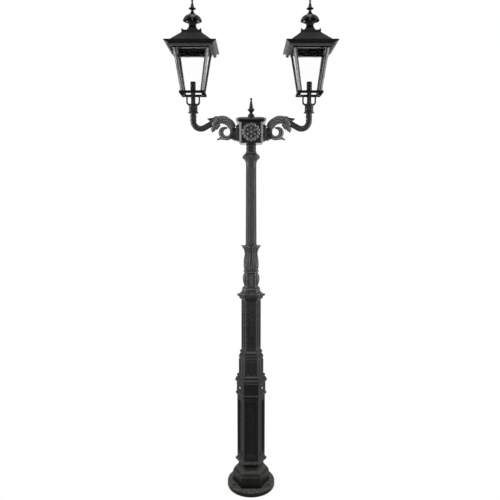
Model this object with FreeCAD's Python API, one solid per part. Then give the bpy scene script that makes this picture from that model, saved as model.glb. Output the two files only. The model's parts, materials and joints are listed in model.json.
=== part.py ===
import FreeCAD, Part
import math
import os
from FreeCAD import Rotation, Vector

# Double head lamp post, millimetres, +Z up, the front faces -Y.
# The origin is the centre of the flange's underside.
# Hexagon sizes are centre to corner. Square sizes are centre to side.

# Clearances
fit_gap = 0.2
running_gap = 0.08
pane_gap = 0.3
door_gap = 0.5
stud_end_gap = 2.0
cut_over = 1.0
point_match = 1e-6

# Base casting
flange_radius = 174.0
flange_height = 30.0
flange_edge = 8.0
anchor_circle_radius = 144.0
anchor_hole_radius = 7.0
anchor_count = 3
cable_entry_radius = 55.0
plinth_corner = 138.0
plinth_head_corner = 133.0
plinth_height = 80.0
plinth_bevel = 3.0
plinth_ledge = 3.0
plinth_wall = 15.0
cove_height = 56.0
cove_round = 4.0
neck_corner = 91.5
neck_ring_corner = 116.0
neck_ring_height = 50.0
neck_ring_rise = 28.0
neck_ring_lip = 7.0
base_shaft_corner = 101.5
base_shaft_height = 474.0
base_bore_radius = 68.0
top_ring_corner = 113.0
top_ring_height = 22.0
top_ring_lip = 11.0
band_corner = 105.3
band_height = 70.0

# Recessed panels on the base faces
panel_width = 78.0
panel_bevel = 10.0
panel_sill = 28.0
panel_depth = 10.0
panel_foot = 25.0
panel_head = 36.0

# Access door in the front face
door_width = 92.0
door_rise = 16.0
door_drop = 14.0
door_thickness = 15.0
door_ledge = 8.0
door_top_ledge = 3.0
door_pin_radius = 3.0
door_pin_length = 12.0
door_pin_reach = 5.0
lock_radius = 7.0
lock_drop = 11.0
lock_key_radius = 4.5
lock_key_depth = 6.0
cam_width = 10.0
cam_length = 20.0
cam_thickness = 4.0
cam_setback = 4.0

# Connection box inside the base
rail_width = 30.0
rail_thickness = 5.0
rail_length = 240.0
rail_foot = 130.0
rail_back = 31.0
rail_boss_radius = 9.0
rail_boss_inset = 30.0
rail_boss_sink = 4.0
rail_screw_radius = 3.0
rail_screw_head_radius = 5.5
rail_screw_head_height = 4.0
rail_screw_length = 22.0
box_width = 56.0
box_depth = 44.0
box_length = 150.0
box_wall = 3.0
box_cover_thickness = 4.0
terminal_width = 40.0
terminal_depth = 22.0
terminal_length = 60.0
terminal_drop = 22.0
terminal_ways = 4
terminal_well_radius = 3.0
terminal_well_drop = 15.0
gland_radius = 9.0
gland_height = 12.0
gland_neck_radius = 6.0
gland_neck_height = 5.0
supply_gland_bore = 4.5

# Hexagonal shaft
spigot_radius = 64.0
spigot_length = 85.0
shaft_bore_radius = 50.0
foot_ring_corner = 117.0
foot_ring_height = 43.0
foot_ring_rise = 11.0
foot_ring_lip = 5.0
ring_round = 3.0
foot_waist_corner = 99.5
foot_bead_corner = 104.0
foot_bead_height = 24.0
foot_bead_rise = 7.0
foot_bead_lip = 8.0
collar_corner = 90.0
collar_height = 103.0
mid_ring_corner = 89.5
mid_groove_corner = 85.0
mid_ring_height = 46.0
mid_ring_rise = 18.0
mid_groove_rise = 7.0
mid_waist_corner = 77.0
mid_bead_corner = 82.0
mid_bead_height = 28.0
mid_bead_rise = 11.0
mid_bead_lip = 7.0
shaft_corner = 70.4
shaft_height = 366.0
cap_step_corner = 88.0
cap_step_rise = 13.0
cap_step_lean = 3.0
cap_corner = 100.5
cap_plate = 12.0
cap_height = 43.0
hub_radius = 34.0
hub_length = 150.0
flute_radius = 10.0
flute_depth = 4.0
flute_offset = 15.5
flute_margin = 26.0
collar_flute_offset = 20.0
collar_flute_margin = 13.0
set_screw_radius = 7.0
set_screw_proud = 2.0
set_screw_key_radius = 3.4
set_screw_key_depth = 5.0
set_screw_count = 3
set_screw_rise = 40.0

# Core tube that lines up the round castings
core_radius = 24.0
core_wall = 3.0
core_stand = 17.0

# Leaf vase
vase_foot_radius = 82.0
vase_foot_height = 20.0
vase_block_radius = 65.5
vase_block_height = 24.0
vase_shoulder_height = 21.0
vase_neck_radius = 50.0
vase_bulge_radius = 59.0
vase_bulge_height = 82.0
vase_ring_radius = 57.0
vase_ring_height = 22.0
vase_ring_lip = 5.0
vase_round = 3.0

# Leaf cup
cup_foot_radius = 45.0
cup_bulge_radius = 53.0
cup_bulge_height = 106.0
cup_waist_radius = 43.5
cup_waist_height = 15.0
cup_rim_radius = 64.5
cup_flare_height = 59.0
cup_flare_round = 6.0
cup_rim_height = 6.0
cup_floor_drop = 12.0
cup_rim_wall = 8.0
cup_leaves = 6
cup_notch_radius = 12.0
cup_notch_depth = 5.0
cup_notch_height = 22.0

# Fluted column and capital
column_foot_radius = 39.5
column_top_radius = 36.8
column_height = 584.0
column_flutes = 16
column_flute_radius = 6.0
column_flute_depth = 2.4
column_flute_margin = 24.0
capital_radius = 63.0
capital_trumpet_radius = 43.0
capital_trumpet_height = 26.0
capital_trumpet_round = 1.0
capital_round = 5.0
capital_flare_height = 20.0
capital_drop_height = 31.0
capital_top_radius = 38.0
neck_tube_radius = 33.0
neck_tube_height = 66.0
neck_bead_radius = 37.0
neck_bead_height = 15.0
neck_bead_count = 3

# Head box, lid and rosettes
head_half = 83.0
head_chamfer = 16.0
head_height = 143.0
head_wall = 8.0
head_floor = 12.0
head_bottom_bevel = 7.0
lid_half = 104.0
lid_edge_height = 14.0
lid_skirt = 12.0
lid_crown = 8.0
lid_lip = 10.0
lid_bevel = 30.0
lid_round = 4.0
lid_seat = 2.0
lid_chamfer = 14.0
lid_plug_height = 8.0
lid_screw_radius = 3.0
lid_screw_head_radius = 5.5
lid_screw_head_height = 3.5
lid_screw_key_depth = 1.8
lid_screw_length = 26.0
lid_boss_radius = 7.0
lid_boss_height = 40.0
rosette_radius = 62.0
rosette_plate = 4.0
rosette_height = 9.0
rosette_lobes = 14
rosette_petals = 6
rosette_lobe_radius = 11.5
rosette_lobe_height = 6.5
rosette_hollow_radius = 47.0
rosette_petal_radius = 5.0
rosette_petal_foot = 18.0
rosette_petal_end = 27.0
rosette_boss_radius = 11.0
rosette_pin_radius = 4.0
rosette_pin_length = 7.0
finial_knob_radius = 22.0
finial_waist_radius = 9.0
finial_disc_radius = 25.5
finial_cone_radius = 14.5
finial_tip_radius = 7.0
finial_height = 140.0
finial_stud_radius = 4.0
finial_swell = 1.5
finial_disc_edge = 3.0
finial_ball_height = 13.0
finial_ball_step = 2.0
finial_point = 0.01

# Finial levels above its foot, then from the disc to the cone
finial_foot_rise = 8.4
finial_knob_rise = 25.0
finial_waist_rise = 38.0
finial_disc_rise = 59.0
finial_neck_rise = 8.4

# Arms
lantern_reach = 405.0
arm_axis_height = 74.0
arm_radius = 20.5
arm_bore = 13.0
arm_plate = 18.0
arm_plate_width = 84.0
arm_plate_height = 112.0
arm_plate_round = 6.0
arm_root_radius = 24.0
arch_reach = 208.0
arch_rise = 14.0
arch_radius = 79.0
leaf_sleeve_radius = 24.5
bend_radius = 52.0
arm_slope = 29.2
arm_top_rise = 136.0
arm_spigot_radius = 18.0
arm_spigot_length = 57.0
neck_ring_radius = 23.5
neck_ring_sink = 1.0
neck_ring_low = 50.0
neck_ring_height_low = 10.0
neck_ring_high = 30.0
neck_ring_height_high = 16.0
scroll_reach = 171.0
scroll_rise = 6.0
scroll_radius = 39.0
scroll_thickness = 14.0
scroll_start = 355.0
scroll_turn = 150.0
scroll_lap = 5.0
scroll_root_thickness = 19.0
scroll_root_angle = -38.0
scroll_tip_radius = 32.0
scroll_tip_thickness = 7.0
scroll_tip_angle = 96.0
tail_angle = 232.0
tail_reach = 238.0
tail_drop = 45.0
tail_thickness = 13.0
tail_tip = 3.5
root_web_reach = 125.0
root_web_drop = 45.0
root_web_rise = 36.0
leaf_start = 12.0
leaf_tip_reach = 304.0
leaf_tip_rise = 100.0
leaf_tip_offset = 8.0
leaf_tip_root = 15.0
leaf_tip_end = 3.0
leaf_lobe_reach = 270.0
leaf_lobe_rise = 26.0
leaf_lobe_offset = 9.0
leaf_lobe_root = 16.0
leaf_lobe_end = 8.0
arm_bolt_radius = 4.0
arm_bolt_head = 7.5
arm_bolt_head_height = 5.5
arm_bolt_side = 30.0
arm_bolt_rise = 44.0
arm_bolt_length = 32.0
arm_bolt_path = 30.0

# Lantern yoke and lamp holder
yoke_disc_radius = 37.0
yoke_disc_height = 14.0
yoke_collar_radius = 31.0
yoke_collar_height = 53.0
yoke_disc_bevel = 7.0
yoke_disc_rise = 5.0
yoke_disc_lip = 4.0
yoke_groove = 3.0
yoke_collar_taper = 5.0
yoke_bead_count = 3
yoke_bead_height = 14.0
yoke_height = 62.0
prong_count = 4
prong_radius = 48.0
prong_thickness = 10.0
prong_width = 12.0
prong_foot_radius = 78.0
prong_foot_height = 6.0
prong_foot_round = 4.5
prong_round = 7.0
prong_inner_round = 5.0
prong_knee = 14.0
prong_shin = 16.0
prong_root_gap = 4.0
prong_root_inset = 4.0
prong_root_drop = 13.0
prong_root_sink = 3.0
stem_radius = 15.5
stem_wall = 4.0
stem_length = 98.0
holder_radius = 18.5
holder_height = 62.0
holder_plug_length = 15.0
holder_edge = 2.0
socket_radius = 13.3
socket_wall = 0.6
socket_length = 26.0
socket_contact_radius = 5.0
socket_contact_height = 3.0

# Lantern body
frame_half = 87.5
frame_bar = 25.0
frame_height = 14.0
frame_round = 3.5
body_foot_half = 80.0
body_top_half = 121.0
body_height = 274.0
post_size = 22.0
post_chamfer = 13.0
pane_thickness = 4.0
pane_setback = 7.0
top_frame_half = 124.0
top_frame_bar = 27.0
top_frame_height = 12.0

# Lantern roof
brim_half = 173.0
brim_rise = 22.0
brim_lip = 6.0
roof_foot_half = 148.0
roof_top_half = 67.0
roof_rise = 77.0
roof_wall = 5.0
roof_rim_inset = 2.0
roof_vent_radius = 22.0
roof_hinge_radius = 5.0
roof_hinge_pin = 2.5
roof_hinge_setback = 5.5
roof_hinge_drop = 6.5
roof_hinge_spacing = 120.0
roof_hinge_lug = 18.0
roof_hinge_play = 0.5
roof_hinge_web = 10.0
crown_half = 68.0
crown_height = 15.0
crown_horn = 8.0
crown_horn_width = 7.0
crown_wall = 5.0
crown_floor = 4.0
chimney_foot_radius = 50.0
chimney_shoulder_radius = 39.0
chimney_bell_height = 34.0
chimney_bell_round = 4.0
chimney_drum_radius = 25.5
chimney_flare_height = 32.0
chimney_flare_round = 4.0
chimney_drum_height = 42.0
chimney_bore = 19.0
chimney_bead_radius = 29.0
chimney_bead_height = 7.0
chimney_cap = 5.0
chimney_slot_drop = 7.0
chimney_slot_width = 12.0
chimney_slot_height = 16.0
cowl_radius = 65.5
cowl_drop = 17.0
cowl_wall = 3.0
cowl_dome_radius = 44.0
cowl_dome_height = 31.0
cowl_dome_round = 4.0
cowl_sweep_round = 3.0
cowl_stud_length = 18.0
cowl_neck_radius = 9.5
cowl_height = 60.0
cowl_boss_radius = 9.0
cowl_boss_drop = 9.0
spire_height = 80.0
spire_disc_radius = 25.0
spire_waist_radius = 7.0
spire_cone_radius = 13.5
spire_tip_radius = 6.5
spire_foot_rise = 2.0
spire_knob_rise = 5.0
spire_waist_rise = 10.0
spire_disc_rise = 19.0
spire_neck_rise = 7.0

# Lamp leads
lead_radius = 3.5
lead_offset = 10.0
lead_bend = 36.0

# Levels worked out from the heights
plinth_top = flange_height + plinth_height
neck_level = plinth_top + cove_height
base_shaft_foot = neck_level + neck_ring_height
base_shaft_top = base_shaft_foot + base_shaft_height
band_foot = base_shaft_top + top_ring_height
base_top = band_foot + band_height
foot_waist = base_top + foot_ring_height
collar_foot = foot_waist + foot_bead_height
collar_top = collar_foot + collar_height
mid_waist = collar_top + mid_ring_height
shaft_foot = mid_waist + mid_bead_height
shaft_top = shaft_foot + shaft_height
cap_top = shaft_top + cap_height
vase_top = (cap_top + vase_foot_height + vase_block_height + vase_shoulder_height
            + vase_bulge_height + vase_ring_height)
cup_top = vase_top + cup_bulge_height + cup_waist_height + cup_flare_height + cup_rim_height
column_foot = cup_top - cup_floor_drop
column_top = column_foot + column_height
capital_top = column_top + capital_trumpet_height + capital_flare_height + capital_drop_height
head_foot = capital_top + neck_tube_height
head_top = head_foot + head_height
lid_top = head_top + lid_skirt + lid_edge_height + lid_crown
arm_axis = head_foot + arm_axis_height
arm_top = arm_axis + arm_top_rise
yoke_top = arm_top + yoke_disc_height + yoke_collar_height
frame_foot = yoke_top + yoke_height
frame_top = frame_foot + frame_height
body_top = frame_top + body_height
roof_foot = body_top + top_frame_height
brim_level = roof_foot + brim_rise
roof_top = brim_level + brim_lip + roof_rise
stem_foot = arm_top + arm_spigot_length
holder_foot = stem_foot + stem_length
holder_top = holder_foot + holder_height
chimney_foot = roof_top + crown_floor
chimney_top = chimney_foot + chimney_bell_height + chimney_flare_height + chimney_drum_height
cowl_foot = chimney_top - cowl_drop
cowl_top = cowl_foot + cowl_height

# Shared places
cos30 = math.cos(math.radians(30.0))
face_distance = base_shaft_corner * cos30
door_foot = base_shaft_foot + door_rise
door_head = base_shaft_top - door_drop
lock_level = door_head - lock_drop
door_back = face_distance - door_thickness
pin_depth = face_distance - door_thickness / 2.0
pin_level = door_foot + door_thickness / 2.0
core_bore = core_radius + fit_gap
core_foot = cap_top - hub_length
core_top = head_foot + core_stand
box_foot = base_shaft_foot + rail_foot + (rail_length - box_length) / 2.0
box_top = box_foot + box_length
box_back = rail_back - rail_thickness
box_front = box_back - box_depth
terminal_top = box_top - terminal_drop
slope_sine = math.sin(math.radians(arm_slope))
slope_cosine = math.cos(math.radians(arm_slope))
turn_sum = arch_radius + bend_radius
arm_straight = (lantern_reach - bend_radius - arch_reach - turn_sum * slope_sine) / slope_cosine
bend_rise = arch_rise + turn_sum * slope_cosine - arm_straight * slope_sine
hinge_y = top_frame_half + roof_hinge_setback
hinge_z = roof_foot - roof_hinge_drop


# Outline helpers: a point is (size, level), an arc is ((middle), (end))


def corner_arc(start, end, corner):
    """Quarter-round from start to end with its corner rounded outwards towards corner."""
    lean = math.sqrt(0.5)
    middle_size = start[0] + end[0] - corner[0] + lean * (2 * corner[0] - start[0] - end[0])
    middle_level = start[1] + end[1] - corner[1] + lean * (2 * corner[1] - start[1] - end[1])
    return ((middle_size, middle_level), end)


def bulge(start, end, height):
    """Arc from start to end whose middle stands out by height."""
    along = (end[0] - start[0], end[1] - start[1])
    length = math.hypot(along[0], along[1])
    middle_size = (start[0] + end[0]) / 2.0 + height * along[1] / length
    middle_level = (start[1] + end[1]) / 2.0 - height * along[0] / length
    return ((middle_size, middle_level), end)


def bead(size, level, out, height):
    """Half-round moulding that stands out from size, going up from level."""
    return bulge((size, level), (size, level + height), out - size)


def outline_edges(points, place):
    edges = []
    here = points[0]
    for step in points[1:]:
        if isinstance(step[0], tuple):
            middle, there = step
            edges.append(Part.Arc(place(here), place(middle), place(there)).toShape())
        else:
            there = step
            edges.append(Part.LineSegment(place(here), place(there)).toShape())
        here = there
    return edges


def last_point(points):
    return points[-1][1] if isinstance(points[-1][0], tuple) else points[-1]


def closed_face(edges):
    return Part.Face(Part.Wire(Part.__sortEdges__(edges)))


def turned(points):
    """Round solid: the outline turned about the Z axis."""
    first = points[0]
    last = last_point(points)
    path = [(0.0, first[1])] + points + [(0.0, last[1])]
    place = lambda p: Vector(p[0], 0, p[1])
    edges = outline_edges(path, place)
    edges.append(Part.LineSegment(place(path[-1]), place(path[0])).toShape())
    return closed_face(edges).revolve(Vector(0, 0, 0), Vector(0, 0, 1), 360)


def moulded(points, share, angles):
    """Mitred solid: the same outline on every side, each side a slab at its own angle."""
    right = lambda p: Vector(0, p[0] * share, p[1])
    left = lambda p: Vector(0, -p[0] * share, p[1])
    first = points[0]
    last = last_point(points)
    edges = outline_edges(points, right) + outline_edges(points, left)
    edges.append(Part.LineSegment(left(first), right(first)).toShape())
    edges.append(Part.LineSegment(left(last), right(last)).toShape())
    face = closed_face(edges)
    reach = 2.0 * face.BoundBox.YLength
    face.translate(Vector(-reach, 0, 0))
    slab = face.extrude(Vector(2.0 * reach, 0, 0))
    solid = turn(slab, angles[0])
    for angle in angles[1:]:
        solid = solid.common(turn(slab, angle))
    return solid


def hexagonal(points):
    return moulded(points, cos30, [0.0, 60.0, 120.0])


def square(points):
    return moulded(points, 1.0, [0.0, 90.0])


# Solid helpers


def turn(shape, angle):
    copy = shape.copy()
    copy.rotate(Vector(0, 0, 0), Vector(0, 0, 1), angle)
    return copy


def moved(shape, x=0.0, y=0.0, z=0.0):
    copy = shape.copy()
    copy.translate(Vector(x, y, z))
    return copy


def mirrored(shape):
    return shape.mirror(Vector(0, 0, 0), Vector(1, 0, 0))


def block(x, y, z):
    """Box between the limits given as pairs."""
    corner = Vector(x[0], y[0], z[0])
    return Part.makeBox(x[1] - x[0], y[1] - y[0], z[1] - z[0], corner)


def rod(start, end, radius):
    along = end.sub(start)
    return Part.makeCylinder(radius, along.Length, start, along)


def spike(start, end, start_radius, end_radius):
    along = end.sub(start)
    cone = Part.makeCone(start_radius, end_radius, along.Length, start, along)
    return cone.fuse([Part.makeSphere(start_radius, start), Part.makeSphere(end_radius, end)])


def capsule(start, end, radius):
    ends = [Part.makeSphere(radius, start), Part.makeSphere(radius, end)]
    return rod(start, end, radius).fuse(ends)


def polygon_prism(corners, depth, direction):
    """Flat outline given by its corner points, pushed along direction."""
    wire = Part.makePolygon(corners + [corners[0]])
    return Part.Face(wire).extrude(direction * depth)


def key_socket(centre, direction, radius, depth, sides):
    """Many-sided hole for a key, starting at centre and running along direction."""
    spots = []
    for k in range(sides):
        a = 2.0 * math.pi * k / sides
        spots.append(Vector(radius * math.cos(a), radius * math.sin(a), 0))
    prism = polygon_prism(spots, depth, Vector(0, 0, 1))
    prism.Placement = FreeCAD.Placement(centre, Rotation(Vector(0, 0, 1), direction))
    return prism


def one_piece(shape):
    return shape.removeSplitter()


def around(shape, count, first=0.0):
    return [turn(shape, first + 360.0 * k / count) for k in range(count)]


# Base


def panel_recess():
    """Bevelled hollow in the front face, a little proud of it for a clean cut."""
    low = base_shaft_foot + panel_foot
    high = base_shaft_top - panel_head
    spread = panel_bevel * cut_over / panel_depth
    sill_spread = panel_sill * cut_over / panel_depth
    wires = []
    for outer in (True, False):
        half = panel_width / 2.0 + spread if outer else panel_width / 2.0 - panel_bevel
        bottom = low - sill_spread if outer else low + panel_sill
        top = high + spread if outer else high - panel_bevel
        y = -(face_distance + cut_over) if outer else -(face_distance - panel_depth)
        spots = [Vector(-half, y, bottom), Vector(half, y, bottom)]
        spots += [Vector(half, y, top), Vector(-half, y, top)]
        wires.append(Part.makePolygon(spots + [spots[0]]))
    return Part.makeLoft(wires, True, True)


def base_casting():
    flange = turned([
        (flange_radius, 0.0),
        (flange_radius, flange_height - flange_edge),
        corner_arc((flange_radius, flange_height - flange_edge),
                   (flange_radius - flange_edge, flange_height), (flange_radius, flange_height)),
    ])
    ledge_corner = plinth_head_corner - plinth_bevel
    cove_corner = ledge_corner - plinth_ledge
    cove_middle = ((cove_corner + neck_corner) / 2.0, (plinth_top + neck_level) / 2.0)
    ring_edge = neck_level + neck_ring_rise
    lip_foot = base_shaft_top + (top_ring_height - top_ring_lip) / 2.0
    column = hexagonal(
        [
            (plinth_corner, 0.0),
            (plinth_head_corner, plinth_top - plinth_bevel),
            (ledge_corner, plinth_top),
            (cove_corner, plinth_top),
            bulge((cove_corner, plinth_top), cove_middle, cove_round),
            bulge(cove_middle, (neck_corner, neck_level), -cove_round),
            (neck_ring_corner, ring_edge),
            (neck_ring_corner, ring_edge + neck_ring_lip),
            (base_shaft_corner, base_shaft_foot),
            (base_shaft_corner, base_shaft_top),
            (top_ring_corner, lip_foot),
            (top_ring_corner, lip_foot + top_ring_lip),
            (band_corner, band_foot),
            (band_corner, base_top),
        ]
    )
    plinth_bore = plinth_head_corner * cos30 - plinth_wall
    cavity = turned([
        (cable_entry_radius, -cut_over),
        (cable_entry_radius, flange_height),
        (plinth_bore, flange_height),
        (plinth_bore, plinth_top - plinth_wall),
        (base_bore_radius, plinth_top + cove_height / 2.0),
        (base_bore_radius, base_shaft_top),
        (spigot_radius + fit_gap, base_shaft_top),
        (spigot_radius + fit_gap, base_top + cut_over),
    ])
    cuts = [cavity]
    cuts += [turn(panel_recess(), 60.0 * k) for k in range(1, 6)]
    half = door_width / 2.0
    cuts.append(block((-half, half), (-face_distance - cut_over, -door_back + pane_gap),
                      (door_foot - door_gap, door_head + door_gap)))
    cuts.append(block((-half + door_ledge, half - door_ledge), (-face_distance, 0.0),
                      (door_foot + door_ledge, door_head - door_top_ledge)))
    pin_end = half + door_pin_reach + running_gap
    cuts.append(rod(pin_point(-pin_end), pin_point(pin_end), door_pin_radius + running_gap))
    anchor = Vector(anchor_circle_radius, 0, -cut_over)
    hole = rod(anchor, anchor + Vector(0, 0, flange_height + 2.0 * cut_over), anchor_hole_radius)
    cuts += around(hole, anchor_count, 90.0)
    screw_hole = rod(Vector(0, 0, screw_level()), Vector(band_corner, 0, screw_level()),
                     set_screw_radius + fit_gap)
    cuts += around(screw_hole, set_screw_count, 90.0)
    body = flange.fuse(column).cut(cuts)
    bosses = []
    for level in rail_boss_levels():
        root = Vector(0, base_bore_radius + rail_boss_sink, level)
        bosses.append(rod(Vector(0, rail_back, level), root, rail_boss_radius))
    body = body.fuse(bosses)
    holes = []
    for level in rail_boss_levels():
        start = Vector(0, rail_back - cut_over, level)
        end = Vector(0, rail_back - rail_thickness + rail_screw_length + cut_over, level)
        holes.append(rod(start, end, rail_screw_radius + fit_gap))
    return one_piece(body.cut(holes))


def screw_level():
    return band_foot + set_screw_rise


def rail_boss_levels():
    foot = base_shaft_foot + rail_foot
    return [foot + rail_boss_inset, foot + rail_length - rail_boss_inset]


def set_screws():
    """Grub screws in the band, biting on the shaft's spigot."""
    end = band_corner * cos30 + set_screw_proud
    level = screw_level()
    screw = rod(Vector(spigot_radius, 0, level), Vector(end, 0, level), set_screw_radius)
    key = key_socket(Vector(end, 0, level), Vector(-1, 0, 0), set_screw_key_radius, set_screw_key_depth, 6)
    return around(screw.cut(key), set_screw_count, 90.0)


def pin_point(x):
    return Vector(x, -pin_depth, pin_level)


def access_door():
    """Front panel that tilts out about its round lower edge."""
    half = door_width / 2.0 - door_gap
    y = (-face_distance, -door_back)
    slab = block((-half, half), y, (pin_level, door_head))
    edge = rod(pin_point(-half), pin_point(half), door_thickness / 2.0)
    hole = rod(Vector(0, -face_distance - cut_over, lock_level), Vector(0, 0, lock_level),
               lock_radius + running_gap)
    sockets = []
    for side in (-1, 1):
        inner = side * (half + door_gap + door_pin_reach - door_pin_length)
        sockets.append(rod(pin_point(inner), pin_point(side * (half + cut_over)), door_pin_radius))
    return one_piece(slab.fuse(edge).cut([panel_recess(), hole] + sockets))


def door_hinge_pins():
    pins = []
    for side in (-1, 1):
        outer = side * (door_width / 2.0 + door_pin_reach)
        inner = outer - side * door_pin_length
        pins.append(rod(pin_point(inner), pin_point(outer), door_pin_radius))
    return pins


def door_lock():
    """Key-turned spindle with a cam, shown turned to its open position."""
    cam_front = -(base_bore_radius - cam_setback)
    cam_back = cam_front + cam_thickness
    spindle = rod(Vector(0, -face_distance, lock_level), Vector(0, cam_back, lock_level), lock_radius)
    cam_foot = lock_level - cam_width / 2.0
    cam = block((0.0, cam_length), (cam_front, cam_back), (cam_foot, cam_foot + cam_width))
    face = Vector(0, -face_distance, lock_level)
    key = key_socket(face, Vector(0, 1, 0), lock_key_radius, lock_key_depth, 3)
    return one_piece(spindle.fuse(cam).cut(key))


def mounting_rail():
    foot = base_shaft_foot + rail_foot
    bar = block((-rail_width / 2.0, rail_width / 2.0), (box_back, rail_back), (foot, foot + rail_length))
    holes = [rod(Vector(0, 0, z), Vector(0, rail_back + cut_over, z), rail_screw_radius + fit_gap)
             for z in rail_boss_levels()]
    return bar.cut(holes)


def rail_screws():
    screws = []
    for z in rail_boss_levels():
        seat = Vector(0, box_back, z)
        shank = rod(seat, seat + Vector(0, rail_screw_length, 0), rail_screw_radius)
        head = rod(seat - Vector(0, rail_screw_head_height, 0), seat, rail_screw_head_radius)
        screws.append(one_piece(shank.fuse(head)))
    return screws


def lead_spots():
    return [Vector(-lead_offset, 0, 0), Vector(lead_offset, 0, 0)]


def connection_box():
    """Open-fronted case on the rail, with holes for its three glands."""
    half = box_width / 2.0
    case = block((-half, half), (box_front, box_back), (box_foot, box_top))
    room = block((-half + box_wall, half - box_wall), (box_front - cut_over, box_back - box_wall),
                 (box_foot + box_wall, box_top - box_wall))
    cuts = [room]
    cuts.append(rod(Vector(0, 0, box_foot - cut_over), Vector(0, 0, box_foot + box_wall + cut_over),
                    gland_neck_radius + fit_gap))
    for spot in lead_spots():
        start = spot + Vector(0, 0, box_top - box_wall - cut_over)
        end = spot + Vector(0, 0, box_top + cut_over)
        cuts.append(rod(start, end, gland_neck_radius + fit_gap))
    return case.cut(cuts)


def connection_box_cover():
    half = box_width / 2.0
    plate = block((-half, half), (box_front - box_cover_thickness, box_front), (box_foot, box_top))
    inside = half - box_wall - pane_gap
    rim = block((-inside, inside), (box_front, box_front + box_wall),
                (box_foot + box_wall + pane_gap, box_top - box_wall - pane_gap))
    inner = inside - box_wall
    rim = rim.cut(block((-inner, inner), (box_front - cut_over, box_front + box_wall + cut_over),
                        (box_foot + 2.0 * box_wall, box_top - 2.0 * box_wall)))
    return one_piece(plate.fuse(rim))


def terminal_block():
    """Clamp strip with a row of screw wells, standing on the case's back wall."""
    half = terminal_width / 2.0
    back = box_back - box_wall
    body = block((-half, half), (back - terminal_depth, back), (terminal_top - terminal_length, terminal_top))
    wells = []
    for k in range(terminal_ways):
        x = -half + terminal_width * (k + 0.5) / terminal_ways
        for drop in (terminal_well_drop, terminal_length - terminal_well_drop):
            z = terminal_top - drop
            face = Vector(x, back - terminal_depth - cut_over, z)
            wells.append(rod(face, face + Vector(0, terminal_depth / 2.0, 0), terminal_well_radius))
    return body.cut(wells)


def gland(bore):
    """Screwed cable gland standing on z = 0 with its neck below."""
    nut = key_socket(Vector(0, 0, 0), Vector(0, 0, 1), gland_radius, gland_height, 6)
    neck = rod(Vector(0, 0, -gland_neck_height), Vector(0, 0, 0), gland_neck_radius)
    hole = rod(Vector(0, 0, -gland_neck_height - cut_over), Vector(0, 0, gland_height + cut_over), bore)
    return one_piece(nut.fuse(neck).cut(hole))


def cable_glands():
    glands = [moved(gland(lead_radius + fit_gap), spot.x, spot.y, box_top) for spot in lead_spots()]
    supply = gland(supply_gland_bore)
    supply.rotate(Vector(0, 0, 0), Vector(1, 0, 0), 180)
    glands.append(moved(supply, z=box_foot))
    return glands


# Hexagonal shaft


def face_flutes(corner, low, high, offset):
    """Two round-ended flutes on every face between two levels."""
    distance = corner * cos30 - flute_depth + flute_radius
    flutes = []
    for side in (-1, 1):
        start = Vector(distance, side * offset, low)
        end = Vector(distance, side * offset, high)
        flutes += around(capsule(start, end, flute_radius), 6, 30.0)
    return flutes


def hex_shaft():
    foot_edge = base_top + foot_ring_rise
    bead_foot = foot_waist + foot_bead_rise
    ring_foot = collar_top + mid_ring_rise
    mid_bead_foot = mid_waist + mid_bead_rise
    body = hexagonal([
        (band_corner, base_top),
        (foot_ring_corner, foot_edge),
        (foot_ring_corner, foot_edge + foot_ring_lip),
        bulge((foot_ring_corner, foot_edge + foot_ring_lip), (foot_waist_corner, foot_waist), ring_round),
        (foot_bead_corner, bead_foot),
        (foot_bead_corner, bead_foot + foot_bead_lip),
        (collar_corner, collar_foot),
        (collar_corner, collar_top),
        (mid_groove_corner, collar_top + mid_groove_rise),
        (mid_ring_corner, ring_foot),
        bulge((mid_ring_corner, ring_foot), (mid_waist_corner, mid_waist), ring_round),
        (mid_bead_corner, mid_bead_foot),
        (mid_bead_corner, mid_bead_foot + mid_bead_lip),
        (shaft_corner, shaft_foot),
        (shaft_corner, shaft_top),
        (cap_step_corner - cap_step_lean, shaft_top + cap_step_rise),
        (cap_step_corner, cap_top - cap_plate),
        (cap_corner, cap_top - cap_plate),
        (cap_corner, cap_top),
    ])
    spigot = rod(Vector(0, 0, base_top - spigot_length), Vector(0, 0, base_top), spigot_radius)
    hub = rod(Vector(0, 0, core_foot), Vector(0, 0, cap_top), hub_radius)
    bore = rod(Vector(0, 0, base_top - spigot_length - cut_over), Vector(0, 0, shaft_top), shaft_bore_radius)
    core = rod(Vector(0, 0, core_foot - cut_over), Vector(0, 0, cap_top + cut_over), core_bore)
    flutes = face_flutes(collar_corner, collar_foot + collar_flute_margin, collar_top - collar_flute_margin,
                         collar_flute_offset)
    flutes += face_flutes(shaft_corner, shaft_foot + flute_margin, shaft_top - flute_margin, flute_offset)
    shell = body.fuse(spigot).cut([bore] + flutes)
    return one_piece(shell.fuse(hub).cut(core))


def core_tube():
    """Steel tube, clamped in the shaft's hub and carried up into the head box."""
    return rod(Vector(0, 0, core_foot), Vector(0, 0, core_top), core_radius).cut(
        rod(Vector(0, 0, core_foot - cut_over), Vector(0, 0, core_top + cut_over), core_radius - core_wall))


def cored(shape):
    box = shape.BoundBox
    return shape.cut(rod(Vector(0, 0, box.ZMin - cut_over), Vector(0, 0, box.ZMax + cut_over), core_bore))


# Round castings above the shaft


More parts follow.
